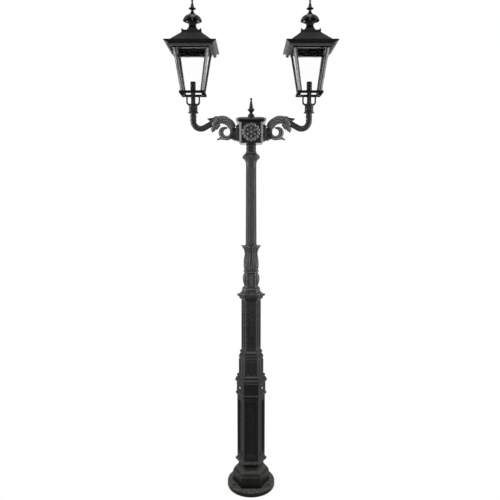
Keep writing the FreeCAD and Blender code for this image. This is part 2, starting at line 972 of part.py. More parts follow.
def lower_vase():
    block_foot = cap_top + vase_foot_height
    block_top = block_foot + vase_block_height
    bulge_foot = block_top + vase_shoulder_height
    bulge_top = bulge_foot + vase_bulge_height
    swell = vase_bulge_radius - vase_neck_radius
    lip_foot = vase_top - vase_ring_lip
    return cored(turned([
        (vase_foot_radius, cap_top),
        bulge((vase_foot_radius, cap_top), (vase_block_radius, block_foot), -vase_round),
        (vase_block_radius, block_top),
        bulge((vase_block_radius, block_top), (vase_neck_radius, bulge_foot), -vase_round),
        bulge((vase_neck_radius, bulge_foot), (vase_neck_radius, bulge_top), swell),
        bulge((vase_neck_radius, bulge_top), (vase_ring_radius, lip_foot), -vase_round / 2.0),
        (vase_ring_radius, vase_top),
    ]))


def leaf_cup():
    bulge_top = vase_top + cup_bulge_height
    waist_top = bulge_top + cup_waist_height
    rim_foot = cup_top - cup_rim_height
    swell = cup_bulge_radius - (cup_foot_radius + cup_waist_radius) / 2.0
    body = turned([
        (cup_foot_radius, vase_top),
        bulge((cup_foot_radius, vase_top), (cup_waist_radius, bulge_top), swell),
        (cup_waist_radius, waist_top),
        bulge((cup_waist_radius, waist_top), (cup_rim_radius, rim_foot), -cup_flare_round),
        (cup_rim_radius - cup_rim_wall / 2.0, cup_top),
    ])
    dish = turned([
        (column_foot_radius + fit_gap, column_foot),
        (column_foot_radius + fit_gap, column_foot + cup_rim_height),
        (cup_rim_radius - cup_rim_wall, cup_top + cut_over),
    ])
    notch_ring = cup_rim_radius + cup_notch_radius - cup_notch_depth
    notch = rod(Vector(notch_ring, 0, rim_foot - cup_notch_height), Vector(notch_ring, 0, cup_top + cut_over),
                cup_notch_radius)
    return cored(body.cut([dish] + around(notch, cup_leaves, 180.0 / cup_leaves)))


def fluted_column():
    low = column_foot + column_flute_margin
    high = column_top - column_flute_margin
    out = column_flute_radius - column_flute_depth
    start = Vector(column_foot_radius + out, 0, low)
    end = Vector(column_top_radius + out, 0, high)
    flutes = around(capsule(start, end, column_flute_radius), column_flutes)
    body = turned([(column_foot_radius, column_foot), (column_top_radius, column_top)])
    return cored(body.cut(flutes))


def column_capital():
    trumpet_top = column_top + capital_trumpet_height
    widest = trumpet_top + capital_flare_height
    return cored(turned([
        (column_top_radius, column_top),
        bulge((column_top_radius, column_top), (capital_trumpet_radius, trumpet_top), -capital_trumpet_round),
        (capital_radius, widest),
        bulge((capital_radius, widest), (capital_top_radius, capital_top), capital_round),
    ]))


def head_collar():
    """Ringed neck under the head box."""
    pitch = neck_tube_height / neck_bead_count
    points = [(neck_tube_radius, capital_top)]
    for k in range(neck_bead_count):
        level = capital_top + pitch * k + (pitch - neck_bead_height) / 2.0
        points.append((neck_tube_radius, level))
        points.append(bead(neck_tube_radius, level, neck_bead_radius, neck_bead_height))
    points.append((neck_tube_radius, head_foot))
    return cored(turned(points))


# Head box


def chamfered(shape, half, chamfer):
    """Cuts the four upright corners off at 45 degrees."""
    reach = half * math.sqrt(2.0) - chamfer / math.sqrt(2.0)
    box = shape.BoundBox
    keep = block((-reach, reach), (-reach, reach), (box.ZMin - cut_over, box.ZMax + cut_over))
    return shape.common(turn(keep, 45.0))


def lid_screw_spots():
    spot = head_half - head_wall - lid_boss_radius
    spots = []
    for sx in (-1, 1):
        for sy in (-1, 1):
            spots.append(Vector(sx * (spot - head_chamfer / 2.0), sy * (spot - head_chamfer / 2.0), 0))
    return spots


def arm_bolt_spots():
    spots = []
    for sy in (-1, 1):
        for sz in (-1, 1):
            spots.append(Vector(0, sy * arm_bolt_side, arm_axis + sz * arm_bolt_rise))
    return spots


def head_box():
    """Hollow chamfered box, open at the top, bored for the tube, the arms and the rosettes."""
    body = chamfered(square([
        (head_half - head_bottom_bevel, head_foot),
        (head_half, head_foot + head_bottom_bevel),
        (head_half, head_top),
    ]), head_half, head_chamfer)
    inside = head_half - head_wall
    room = square([(inside, head_foot + head_floor), (inside, head_top + cut_over)])
    room = chamfered(room, inside, head_chamfer)
    body = body.cut(room)
    bosses = []
    for spot in lid_screw_spots():
        boss_foot = head_top - lid_boss_height
        bosses.append(rod(spot + Vector(0, 0, boss_foot), spot + Vector(0, 0, head_top), lid_boss_radius))
        rib_end = Vector(spot.x * inside / abs(spot.x), spot.y * inside / abs(spot.y), 0)
        web = block(sorted((spot.x, rib_end.x)), sorted((spot.y, rib_end.y)), (boss_foot, head_top))
        bosses.append(web.common(body.fuse(room)))
    body = body.fuse(bosses)
    floor_top = head_foot + head_floor
    cuts = [rod(Vector(0, 0, head_foot - cut_over), Vector(0, 0, floor_top + cut_over), core_bore)]
    reach = head_half + cut_over
    cuts.append(rod(Vector(-reach, 0, arm_axis), Vector(reach, 0, arm_axis), arm_bore))
    cuts.append(rod(Vector(0, -reach, arm_axis), Vector(0, reach, arm_axis), rosette_pin_radius + fit_gap))
    for spot in arm_bolt_spots():
        cuts.append(rod(spot + Vector(-reach, 0, 0), spot + Vector(reach, 0, 0), arm_bolt_radius + fit_gap))
    for spot in lid_screw_spots():
        start = spot + Vector(0, 0, head_top - lid_boss_height)
        cuts.append(rod(start, spot + Vector(0, 0, head_top + cut_over), lid_screw_radius + fit_gap))
    return one_piece(body.cut(cuts))


def lid_plug():
    """Shallow square that centres the lid between the corner bosses."""
    half = min(spot.x for spot in lid_screw_spots() if spot.x > 0) - lid_boss_radius - fit_gap
    return block((-half, half), (-half, half), (head_top - lid_plug_height, head_top))


def head_lid():
    edge_foot = head_top + lid_skirt
    edge_top = edge_foot + lid_edge_height
    body = chamfered(square([
        (head_half + lid_seat, head_top),
        (lid_half, edge_foot),
        bulge((lid_half, edge_foot), (lid_half - lid_lip, edge_top), lid_round),
        (lid_half - lid_bevel, lid_top),
    ]), lid_half, lid_chamfer)
    cuts = [rod(Vector(0, 0, lid_top - finial_stud_length()), Vector(0, 0, lid_top + cut_over),
                finial_stud_radius + fit_gap)]
    for spot in lid_screw_spots():
        end = spot + Vector(0, 0, lid_top + cut_over)
        seat = spot + Vector(0, 0, lid_top - lid_screw_head_height)
        cuts.append(rod(spot + Vector(0, 0, head_top - cut_over), end, lid_screw_radius + fit_gap))
        cuts.append(rod(seat, end, lid_screw_head_radius + fit_gap))
    return one_piece(body.fuse(lid_plug()).cut(cuts))


def finial_stud_length():
    return lid_skirt + lid_crown


def lid_screws():
    screws = []
    for spot in lid_screw_spots():
        seat = spot + Vector(0, 0, lid_top - lid_screw_head_height)
        head = rod(seat, spot + Vector(0, 0, lid_top), lid_screw_head_radius)
        end = spot + Vector(0, 0, head_top - lid_screw_length)
        face = spot + Vector(0, 0, lid_top)
        key = key_socket(face, Vector(0, 0, -1), lid_screw_radius, lid_screw_key_depth, 6)
        screws.append(one_piece(rod(end, seat, lid_screw_radius).fuse(head).cut(key)))
    return screws


def spire(foot, height, radii, rises):
    """Turned finial: knob, thin waist, disc, tapering spire and ball."""
    knob, waist, disc, cone, tip = radii
    edge, knob_top, waist_level, disc_foot = [foot + rise for rise in rises[:-1]]
    disc_top = disc_foot + finial_disc_edge
    cone_foot = disc_top + rises[-1]
    ball_foot = foot + height - finial_ball_height
    ball_root = tip - finial_ball_step
    return turned([
        (knob, foot),
        (knob, edge),
        bulge((knob, edge), (knob, knob_top), finial_swell),
        bulge((knob, knob_top), (waist, waist_level), -finial_swell),
        (disc, disc_foot),
        (disc, disc_top),
        bulge((disc, disc_top), (cone, cone_foot), -finial_swell),
        (ball_root, ball_foot),
        bulge((ball_root, ball_foot), (finial_point, foot + height), tip - finial_ball_step / 2.0),
    ])


def head_finial():
    radii = [finial_knob_radius, finial_waist_radius, finial_disc_radius, finial_cone_radius,
             finial_tip_radius]
    rises = [finial_foot_rise, finial_knob_rise, finial_waist_rise, finial_disc_rise, finial_neck_rise]
    body = spire(lid_top, finial_height, radii, rises)
    stud_foot = lid_top - finial_stud_length() + stud_end_gap
    stud = rod(Vector(0, 0, stud_foot), Vector(0, 0, lid_top + cut_over), finial_stud_radius)
    return one_piece(body.fuse(stud))


def rosette():
    """Round ornament lying on z = 0: a ring of leaf lobes round a six-petal flower, with a pin behind."""
    lobe_ring = rosette_radius - rosette_lobe_radius
    plate = rod(Vector(0, 0, 0), Vector(0, 0, rosette_plate), lobe_ring)
    lobe = rod(Vector(lobe_ring, 0, 0), Vector(lobe_ring, 0, rosette_lobe_height), rosette_lobe_radius)
    petal = spike(Vector(rosette_petal_foot, 0, rosette_plate), Vector(rosette_petal_end, 0, rosette_plate),
                  rosette_petal_radius, rosette_petal_radius - cut_over)
    petal = petal.common(rod(Vector(0, 0, cut_over), Vector(0, 0, rosette_height), rosette_radius))
    boss = rod(Vector(0, 0, 0), Vector(0, 0, rosette_height), rosette_boss_radius)
    hollow = rod(Vector(0, 0, rosette_plate), Vector(0, 0, rosette_height), rosette_hollow_radius)
    body = plate.fuse(around(lobe, rosette_lobes)).cut(hollow)
    pin = rod(Vector(0, 0, -rosette_pin_length), Vector(0, 0, cut_over), rosette_pin_radius)
    return one_piece(body.fuse(around(petal, rosette_petals) + [boss, pin]))


def front_rosette():
    shape = rosette()
    shape.rotate(Vector(0, 0, 0), Vector(1, 0, 0), 90)
    return moved(shape, y=-head_half, z=arm_axis)


def back_rosette():
    return turn(front_rosette(), 180.0)


# Arms: the left one is built, the right one is its mirror image


def flat(out, rise):
    """Point in the arm's own plane, left of the post, measured from the arm's axis."""
    return Vector(-out, 0, arm_axis + rise)


def on_circle(centre, radius, angle):
    a = math.radians(angle)
    return Vector(centre.x + radius * math.cos(a), 0, centre.z + radius * math.sin(a))


def angle_to(centre, point):
    return math.degrees(math.atan2(point.z - centre.z, point.x - centre.x))


def arc_edge(centre, radius, first, last):
    spots = [on_circle(centre, radius, a) for a in (first, (first + last) / 2.0, last)]
    return Part.Arc(spots[0], spots[1], spots[2]).toShape()


def line_edge(start, end):
    return Part.LineSegment(start, end).toShape()


def arm_points():
    """Centres and angles of the arm's three tangent arcs."""
    arch = flat(arch_reach, arch_rise)
    bend = flat(lantern_reach - bend_radius, bend_rise)
    root_rise = arm_root_radius - arch_rise
    root_out = arch_reach - math.sqrt((arch_radius + arm_root_radius) ** 2 - root_rise ** 2)
    root = flat(root_out, arm_root_radius)
    root_angle = angle_to(arch, root)
    return arch, bend, root, root_angle, 90.0 + arm_slope


def arm_route(start):
    """Edges of the arm's centre line from start, a point on the box axis, to the top of the arm."""
    arch, bend, root, root_angle, leave_angle = arm_points()
    edges = [line_edge(start, Vector(root.x, 0, arm_axis))]
    edges.append(arc_edge(root, arm_root_radius, 270.0, 180.0 + root_angle))
    edges.append(arc_edge(arch, arch_radius, root_angle, leave_angle))
    edges.append(line_edge(on_circle(arch, arch_radius, leave_angle),
                           on_circle(bend, bend_radius, leave_angle + 180.0)))
    edges.append(arc_edge(bend, bend_radius, leave_angle + 180.0, 180.0))
    return edges


def tube_along(edges, radius):
    wire = Part.Wire(edges)
    start = wire.OrderedVertexes[0].Point
    edge = wire.OrderedEdges[0]
    direction = edge.tangentAt(edge.FirstParameter)
    if edge.valueAt(edge.FirstParameter).distanceToPoint(start) > point_match:
        direction = edge.tangentAt(edge.LastParameter) * -1.0
    ring = Part.Wire([Part.makeCircle(radius, start, direction)])
    return wire.makePipeShell([ring], True, False)


def ring_part(centre, radius, thickness, first, last):
    """Part of a torus in the arm's plane."""
    disc = Part.Face(Part.Wire([Part.makeCircle(thickness, on_circle(centre, radius, first),
                                                on_circle(centre, 1.0, first + 90.0).sub(centre))]))
    return disc.revolve(centre, Vector(0, -1, 0), last - first)


def left_arm():
    arch, bend, root, root_angle, leave_angle = arm_points()
    plate_face = flat(head_half, 0.0)
    top = flat(lantern_reach, arm_top_rise)
    route = arm_route(plate_face) + [line_edge(flat(lantern_reach, bend_rise), top)]
    body = tube_along(route, arm_radius)
    plate = block((-head_half - arm_plate, -head_half), (-arm_plate_width / 2.0, arm_plate_width / 2.0),
                  (arm_axis - arm_plate_height / 2.0, arm_axis + arm_plate_height / 2.0))
    outer_edges = [edge for edge in plate.Edges if edge.BoundBox.XMax < -head_half - cut_over]
    pieces = [plate.makeFillet(arm_plate_round, outer_edges)]
    leaf_angle = root_angle + leaf_start
    pieces.append(ring_part(arch, arch_radius, leaf_sleeve_radius, leaf_angle, leave_angle))
    pieces.append(ring_part(arch, arch_radius, scroll_root_thickness, scroll_root_angle, leaf_angle))
    scroll = flat(scroll_reach, scroll_rise)
    pieces.append(ring_part(scroll, scroll_radius, scroll_thickness, scroll_turn, scroll_start))
    pieces.append(ring_part(scroll, scroll_tip_radius, scroll_tip_thickness, scroll_tip_angle,
                            scroll_turn + scroll_lap))
    scroll_tip = on_circle(scroll, scroll_tip_radius, scroll_tip_angle)
    pieces.append(Part.makeSphere(scroll_tip_thickness, scroll_tip))
    pieces.append(spike(on_circle(scroll, scroll_radius, tail_angle), flat(tail_reach, -tail_drop),
                        tail_thickness, tail_tip))
    pieces.append(block((-root_web_reach, -head_half - cut_over), (-scroll_thickness, scroll_thickness),
                        (arm_axis - root_web_drop, arm_axis + root_web_rise)))
    pieces.append(spike(on_circle(arch, arch_radius + leaf_tip_offset, leave_angle - leaf_start),
                        flat(leaf_tip_reach, leaf_tip_rise), leaf_tip_root, leaf_tip_end))
    pieces.append(spike(on_circle(arch, arch_radius - leaf_lobe_offset, leave_angle),
                        flat(leaf_lobe_reach, leaf_lobe_rise), leaf_lobe_root, leaf_lobe_end))
    ring_root = arm_radius - neck_ring_sink
    low_ring = arm_top - neck_ring_low
    high_ring = arm_top - neck_ring_high
    pieces.append(moved(turned([
        (ring_root, low_ring),
        bead(ring_root, low_ring, neck_ring_radius, neck_ring_height_low),
        (ring_root, high_ring),
        bead(ring_root, high_ring, neck_ring_radius, neck_ring_height_high),
        (ring_root, arm_top),
    ]), x=-lantern_reach))
    pieces.append(rod(top, top + Vector(0, 0, arm_spigot_length), arm_spigot_radius))
    for piece in pieces:
        body = body.fuse(piece)
    bore_end = top + Vector(0, 0, arm_spigot_length + cut_over)
    bore_start = plate_face + Vector(cut_over, 0, 0)
    bore = tube_along(arm_route(bore_start) + [line_edge(flat(lantern_reach, bend_rise), bore_end)], arm_bore)
    holes = []
    for spot in arm_bolt_spots():
        start = spot + Vector(-head_half - arm_plate - arm_bolt_path, 0, 0)
        end = spot + Vector(-head_half + cut_over, 0, 0)
        holes.append(rod(start, end, arm_bolt_radius + fit_gap))
    for hole in [bore] + holes:
        body = body.cut(hole)
    return one_piece(body)


def arm_bolts():
    bolts = []
    for spot in arm_bolt_spots():
        seat = spot + Vector(-head_half - arm_plate, 0, 0)
        shank = rod(seat, seat + Vector(arm_bolt_length, 0, 0), arm_bolt_radius)
        head = key_socket(seat, Vector(-1, 0, 0), arm_bolt_head, arm_bolt_head_height, 6)
        bolts.append(one_piece(shank.fuse(head)))
    return bolts + [mirrored(bolt) for bolt in bolts]


def left_lamp_lead():
    """Lead from the terminal block, up the core tube and through the arm to the lamp holder."""
    foot = Vector(-lead_offset, 0, terminal_top)
    bend_foot = Vector(-lead_offset, 0, arm_axis - lead_bend)
    centre = Vector(-lead_offset - lead_bend, 0, arm_axis - lead_bend)
    edges = [line_edge(foot, bend_foot), arc_edge(centre, lead_bend, 0.0, 90.0)]
    edges += arm_route(Vector(centre.x, 0, arm_axis))
    end = Vector(-lantern_reach, 0, holder_foot - holder_plug_length)
    edges.append(line_edge(flat(lantern_reach, bend_rise), end))
    return tube_along(edges, lead_radius)


# Lantern, built on the Z axis


def yoke():
    """Ringed collar on a disc, with four prongs that carry the bottom frame."""
    collar_foot_level = arm_top + yoke_disc_height
    groove = yoke_collar_radius - yoke_groove
    points = [
        (yoke_disc_radius - yoke_disc_bevel, arm_top),
        (yoke_disc_radius, arm_top + yoke_disc_rise),
        (yoke_disc_radius, arm_top + yoke_disc_rise + yoke_disc_lip),
        (groove, collar_foot_level),
    ]
    for k in range(yoke_bead_count):
        level = collar_foot_level + yoke_bead_height * k
        points.append(bead(groove, level, yoke_collar_radius, yoke_bead_height))
    points.append((yoke_collar_radius - yoke_collar_taper, yoke_top))
    body = turned(points)
    inner = prong_radius - prong_thickness
    root = stem_radius + prong_root_gap
    outer_root = yoke_collar_radius - prong_root_inset
    root_level = yoke_top - prong_root_drop
    knee = yoke_top + prong_knee
    shin = frame_foot - prong_shin
    foot_level = frame_foot - prong_foot_height
    outline = [
        (root, root_level),
        (outer_root, root_level),
        bulge((outer_root, root_level), (prong_radius, knee), prong_round),
        (prong_radius, shin),
        bulge((prong_radius, shin), (prong_foot_radius, foot_level), -prong_foot_round),
        (prong_foot_radius, frame_foot),
        (inner, frame_foot),
        (inner, knee),
        bulge((inner, knee), (root, yoke_top - prong_root_sink), -prong_inner_round),
        (root, root_level),
    ]
    edges = outline_edges(outline, lambda p: Vector(p[0], 0, p[1]))
    prong = moved(closed_face(edges), y=-prong_width / 2.0).extrude(Vector(0, prong_width, 0))
    body = body.fuse(around(prong, prong_count))
    seat = rod(Vector(0, 0, arm_top - cut_over), Vector(0, 0, stem_foot), arm_spigot_radius + fit_gap)
    bore = rod(Vector(0, 0, stem_foot), Vector(0, 0, yoke_top + cut_over), stem_radius + fit_gap)
    return one_piece(body.cut([seat, bore]))


def lamp_stem():
    tube = rod(Vector(0, 0, stem_foot), Vector(0, 0, holder_foot), stem_radius)
    bore_radius = stem_radius - stem_wall
    bore = rod(Vector(0, 0, stem_foot - cut_over), Vector(0, 0, holder_foot + cut_over), bore_radius)
    return tube.cut(bore)


def lamp_holder():
    """Black holder with a cup for the screw shell, a well for the contact and a plug in the stem."""
    floor = holder_top - socket_length
    plug_radius = stem_radius - stem_wall - fit_gap
    body = turned([
        (plug_radius, holder_foot - holder_plug_length),
        (plug_radius, holder_foot),
        (holder_radius - holder_edge, holder_foot),
        (holder_radius, holder_foot + holder_edge),
        (holder_radius, holder_top - holder_edge),
        (holder_radius - holder_edge, holder_top),
    ])
    cup_radius = socket_radius + socket_wall + fit_gap
    cup = rod(Vector(0, 0, floor), Vector(0, 0, holder_top + cut_over), cup_radius)
    well = rod(Vector(0, 0, floor - socket_contact_height), Vector(0, 0, holder_top),
               socket_contact_radius + fit_gap)
    return body.cut([cup, well])


def socket_contacts():
    """Brass screw shell and its centre contact, which is let into the floor of the cup."""
    floor = holder_top - socket_length
    shell = rod(Vector(0, 0, floor), Vector(0, 0, holder_top - holder_edge), socket_radius + socket_wall)
    shell = shell.cut(rod(Vector(0, 0, floor - cut_over), Vector(0, 0, holder_top), socket_radius))
    contact = rod(Vector(0, 0, floor - socket_contact_height), Vector(0, 0, floor), socket_contact_radius)
    return [shell, contact]


def square_ring(half, bar, low, high):
    inner = half - bar
    return block((-half, half), (-half, half), (low, high)).cut(
        block((-inner, inner), (-inner, inner), (low - cut_over, high + cut_over)))


def bottom_frame():
    ring = square_ring(frame_half, frame_bar, frame_foot, frame_top)
    corners = []
    for edge in ring.Edges:
        box = edge.BoundBox
        if box.ZLength > frame_height / 2.0 and abs(box.XMax) > frame_half - cut_over:
            corners.append(edge)
    return ring.makeFillet(frame_round, corners)


def post_wire(half, level):
    """Section of the front left post: a square with its outer corner cut off."""
    low = half - post_size
    cut = half - post_chamfer
    spots = [(-cut, -half), (-low, -half), (-low, -low), (-half, -low), (-half, -cut)]
    corners = [Vector(x, y, level) for x, y in spots]
    return Part.makePolygon(corners + [corners[0]])


def corner_posts():
    ends = [post_wire(body_foot_half, frame_top), post_wire(body_top_half, body_top)]
    post = Part.makeLoft(ends, True, True)
    return around(post, 4)


def pane_wire(half, level):
    front = -half + pane_setback
    reach = half - post_size - pane_gap
    back = front + pane_thickness
    spots = [(-reach, front), (reach, front), (reach, back), (-reach, back)]
    corners = [Vector(x, y, level) for x, y in spots]
    return Part.makePolygon(corners + [corners[0]])


def glass_panes():
    ends = [pane_wire(body_foot_half, frame_top), pane_wire(body_top_half, body_top)]
    pane = Part.makeLoft(ends, True, True)
    return around(pane, 4)


def hinge_lug(x, low, high):
    """Knuckle on the hinge line with a web that reaches from low to high beside it."""
    barrel = rod(Vector(x[0], hinge_y, hinge_z), Vector(x[1], hinge_y, hinge_z), roof_hinge_radius)
    return barrel, block(x, low, high)


def hinge_pin_hole():
    half = roof_hinge_spacing / 2.0 + roof_hinge_lug
    return rod(Vector(-half, hinge_y, hinge_z), Vector(half, hinge_y, hinge_z), roof_hinge_pin + running_gap)


def top_frame():
    """Square ring on the posts with two hinge knuckles on its back bar."""
    body = square_ring(top_frame_half, top_frame_bar, body_top, roof_foot)
    half = roof_hinge_spacing / 2.0
    pieces = []
    for side in (-1, 1):
        x = sorted((side * half, side * (half + roof_hinge_lug)))
        pieces += hinge_lug(x, (top_frame_half - cut_over, hinge_y), (hinge_z - roof_hinge_radius, hinge_z))
    return one_piece(body.fuse(pieces).cut(hinge_pin_hole()))


def roof_hinge_pins():
    half = roof_hinge_spacing / 2.0 + roof_hinge_lug
    return rod(Vector(-half, hinge_y, hinge_z), Vector(half, hinge_y, hinge_z), roof_hinge_pin)


def roof():
    """Hollow square roof with a flared brim and two hinge knuckles under its back edge."""
    lip = brim_level + brim_lip
    rim = top_frame_half - roof_rim_inset
    shell = square([
        (rim, roof_foot),
        (brim_half, brim_level),
        (brim_half, lip),
        (roof_foot_half, lip),
        (roof_top_half, roof_top),
    ])
    inner_rim = top_frame_half - top_frame_bar / 2.0
    slope = (roof_foot_half - roof_top_half) / roof_rise
    shift = roof_wall * math.hypot(1.0, slope)
    room = square([
        (inner_rim, roof_foot - cut_over),
        (inner_rim, roof_foot + roof_wall),
        (roof_foot_half - shift, brim_level),
        (roof_foot_half - shift, lip),
        (roof_foot_half - shift - slope * (roof_rise - roof_wall), roof_top - roof_wall),
    ])
    vent = rod(Vector(0, 0, roof_top - roof_wall - cut_over), Vector(0, 0, roof_top + cut_over),
               roof_vent_radius)
    body = shell.cut([room, vent])
    half = roof_hinge_spacing / 2.0 - roof_hinge_play
    rise = roof_foot + roof_hinge_web
    pieces = []
    for side in (-1, 1):
        x = sorted((side * half, side * (half - roof_hinge_lug)))
        pieces += hinge_lug(x, (hinge_y, hinge_y + roof_hinge_radius), (hinge_z, rise))
    return one_piece(body.fuse(pieces).cut(hinge_pin_hole()))


def crown():
    """Square gallery on the roof with a horn at each corner."""
    top = roof_top + crown_height + crown_horn
    inner = crown_half - crown_wall
    body = block((-crown_half, crown_half), (-crown_half, crown_half), (roof_top, top))
    room = block((-inner, inner), (-inner, inner), (chimney_foot, top + cut_over))
    low = roof_top + crown_height
    wide = crown_half - crown_horn_width
    narrow = wide - crown_horn
    start = -crown_half - cut_over
    spots = [Vector(-narrow, start, low), Vector(narrow, start, low)]
    spots += [Vector(wide, start, top), Vector(-wide, start, top)]
    dip = polygon_prism(spots, -2.0 * start, Vector(0, 1, 0))
    vent = rod(Vector(0, 0, roof_top - cut_over), Vector(0, 0, chimney_foot + cut_over), roof_vent_radius)
    return one_piece(body.cut([room, dip, turn(dip, 90.0), vent]))


def chimney():
    """Bell-footed vent drum with four slots under the cowl."""
    bell_top = chimney_foot + chimney_bell_height
    drum_foot = bell_top + chimney_flare_height
    body = turned([
        (chimney_foot_radius, chimney_foot),
        bulge((chimney_foot_radius, chimney_foot), (chimney_shoulder_radius, bell_top), -chimney_bell_round),
        bulge((chimney_shoulder_radius, bell_top), (chimney_drum_radius, drum_foot), -chimney_flare_round),
        bead(chimney_drum_radius, drum_foot, chimney_bead_radius, chimney_bead_height),
        (chimney_drum_radius, chimney_top),
    ])
    bore = rod(Vector(0, 0, chimney_foot - cut_over), Vector(0, 0, chimney_top - chimney_cap), chimney_bore)
    slot_top = chimney_top - chimney_slot_drop
    slots = []
    for angle in (0.0, 90.0):
        reach = chimney_drum_radius + cut_over
        half = chimney_slot_width / 2.0
        slot = block((-reach, reach), (-half, half), (slot_top - chimney_slot_height, slot_top))
        slots.append(turn(slot, angle))
    return one_piece(body.cut([bore] + slots))


def cowl():
    """Bell cap over the vent drum, standing on a short central boss."""
    dome_top = cowl_foot + cowl_dome_height
    shell = turned([
        (cowl_radius, cowl_foot),
        bulge((cowl_radius, cowl_foot), (cowl_dome_radius, dome_top), cowl_dome_round),
        bulge((cowl_dome_radius, dome_top), (cowl_neck_radius, cowl_top), -cowl_sweep_round),
    ])
    inner_dome = (cowl_dome_radius - cowl_wall, dome_top - cowl_wall)
    room = turned([
        (cowl_radius - cowl_wall, cowl_foot - cut_over),
        (cowl_radius - cowl_wall, cowl_foot),
        bulge((cowl_radius - cowl_wall, cowl_foot), inner_dome, cowl_dome_round),
        bulge(inner_dome, (cowl_boss_radius, cowl_top - cowl_boss_drop), -cowl_sweep_round),
    ])
    boss = rod(Vector(0, 0, chimney_top), Vector(0, 0, cowl_top - cowl_wall), cowl_boss_radius)
    stud_foot = cowl_top - cowl_stud_length - stud_end_gap
    stud = rod(Vector(0, 0, stud_foot), Vector(0, 0, cowl_top + cut_over), finial_stud_radius + fit_gap)
    return one_piece(shell.cut(room).fuse(boss).cut(stud))


def roof_finial():
    radii = [cowl_neck_radius, spire_waist_radius, spire_disc_radius, spire_cone_radius, spire_tip_radius]
    rises = [spire_foot_rise, spire_knob_rise, spire_waist_rise, spire_disc_rise, spire_neck_rise]
    body = spire(cowl_top, spire_height, radii, rises)
    stud = rod(Vector(0, 0, cowl_top - cowl_stud_length), Vector(0, 0, cowl_top + cut_over),
               finial_stud_radius)
    return one_piece(body.fuse(stud))


# Writing the pieces out

post_pieces = [
    base_casting, set_screws, access_door, door_hinge_pins, door_lock, mounting_rail, rail_screws,
    connection_box, connection_box_cover, terminal_block, cable_glands, hex_shaft, core_tube, lower_vase,
    leaf_cup, fluted_column, column_capital, head_collar, head_box, head_lid, lid_screws, head_finial,
    front_rosette, back_rosette, arm_bolts,
]
mirrored_pieces = {"arm": left_arm, "lamp_lead": left_lamp_lead}
lantern_pieces = [
    yoke, lamp_stem, lamp_holder, socket_contacts, bottom_frame, corner_posts, glass_panes, top_frame,
    roof_hinge_pins, roof, crown, chimney, cowl, roof_finial,
]


def write(name, shape):
    solids = shape if isinstance(shape, list) else shape.Solids
    whole = solids[0] if len(solids) == 1 else Part.makeCompound(solids)
    whole.exportStep("parts/" + name + ".step")
    volume = sum(solid.Volume for solid in solids)
    state = "valid" if whole.isValid() else "NOT VALID"
    print(name, len(solids), "solids", round(volume / 1000.0, 1), "cm3", state)


os.makedirs("parts", exist_ok=True)
for piece in post_pieces:
    write(piece.__name__, piece())
for name, piece in mirrored_pieces.items():
    shape = piece()
    write("left_" + name, shape)
    write("right_" + name, mirrored(shape))
for piece in lantern_pieces:
    shape = piece()
    for side, reach in (("left", -lantern_reach), ("right", lantern_reach)):
        solids = shape if isinstance(shape, list) else shape.Solids
        write(side + "_" + piece.__name__, [moved(solid, x=reach) for solid in solids])
print("height", round(cowl_top + spire_height, 1), "lantern axis", lantern_reach)
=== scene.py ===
import bpy
import json
import math
import numpy as np
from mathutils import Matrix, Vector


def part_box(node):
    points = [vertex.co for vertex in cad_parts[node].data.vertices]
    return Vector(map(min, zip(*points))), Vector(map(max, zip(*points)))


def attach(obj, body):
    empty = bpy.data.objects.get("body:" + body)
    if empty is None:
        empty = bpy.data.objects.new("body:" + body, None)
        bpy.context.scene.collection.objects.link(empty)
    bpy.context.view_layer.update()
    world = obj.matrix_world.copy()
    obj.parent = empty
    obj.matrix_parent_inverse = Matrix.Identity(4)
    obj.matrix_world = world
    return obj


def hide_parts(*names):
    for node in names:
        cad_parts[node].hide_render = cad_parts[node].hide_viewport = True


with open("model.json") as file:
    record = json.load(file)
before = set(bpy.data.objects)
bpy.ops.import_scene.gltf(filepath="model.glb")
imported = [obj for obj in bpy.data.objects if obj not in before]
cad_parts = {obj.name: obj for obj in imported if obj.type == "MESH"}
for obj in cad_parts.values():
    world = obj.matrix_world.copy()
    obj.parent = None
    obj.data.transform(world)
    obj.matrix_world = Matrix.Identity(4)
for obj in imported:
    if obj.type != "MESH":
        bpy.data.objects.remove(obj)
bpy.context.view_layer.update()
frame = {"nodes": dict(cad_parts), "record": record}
nodes = frame["nodes"]
slotOfNode = {row["node"]: row["material_slot"] for row in frame["record"]["subparts"]}
print("lamp post loaded:", len(nodes), "CAD nodes")


# mesh tools: a surface is (points, quads, triangles)
def smoothStep(low, high, x):  # 0 below low, 1 above high, eased between
    t = np.clip((x - low) / (high - low), 0.0, 1.0)
    return t * t * (3.0 - 2.0 * t)


def bell(x, width):  # 1 at x = 0, falling off on both sides
    return np.exp(-(x / width) ** 2)


def dome(x):  # half circle over -1 to 1
    return np.sqrt(np.clip(1.0 - x ** 2, 0.0, 1.0))


def pointGrid(x, y, z):  # points from three coordinates, spread to one shape
    return np.stack(np.broadcast_arrays(x, y, z), -1)


def turnedGrid(radius, theta, height):  # points at a radius, an angle about Z and a height
    return pointGrid(radius * np.cos(theta), radius * np.sin(theta), height)


def gridQuads(rows, cols, wrapRows):  # quads of a rows by cols grid that closes round its columns
    i = np.arange(rows if wrapRows else rows - 1)
    a, b = np.meshgrid(i, np.arange(cols), indexing="ij")
    c, d = (a + 1) % rows, (b + 1) % cols
    return np.stack([a * cols + b, c * cols + b, c * cols + d, a * cols + d], -1).reshape(-1, 4)


def signedVolume(points, quads, tris):  # sum of the tetrahedra from the middle to every triangle
    cut = np.concatenate([quads[:, [0, 1, 2]], quads[:, [0, 2, 3]], tris])
    p = points - points.mean(0)
    return np.einsum("ij,ij->i", p[cut[:, 0]], np.cross(p[cut[:, 1]], p[cut[:, 2]])).sum() / 6.0


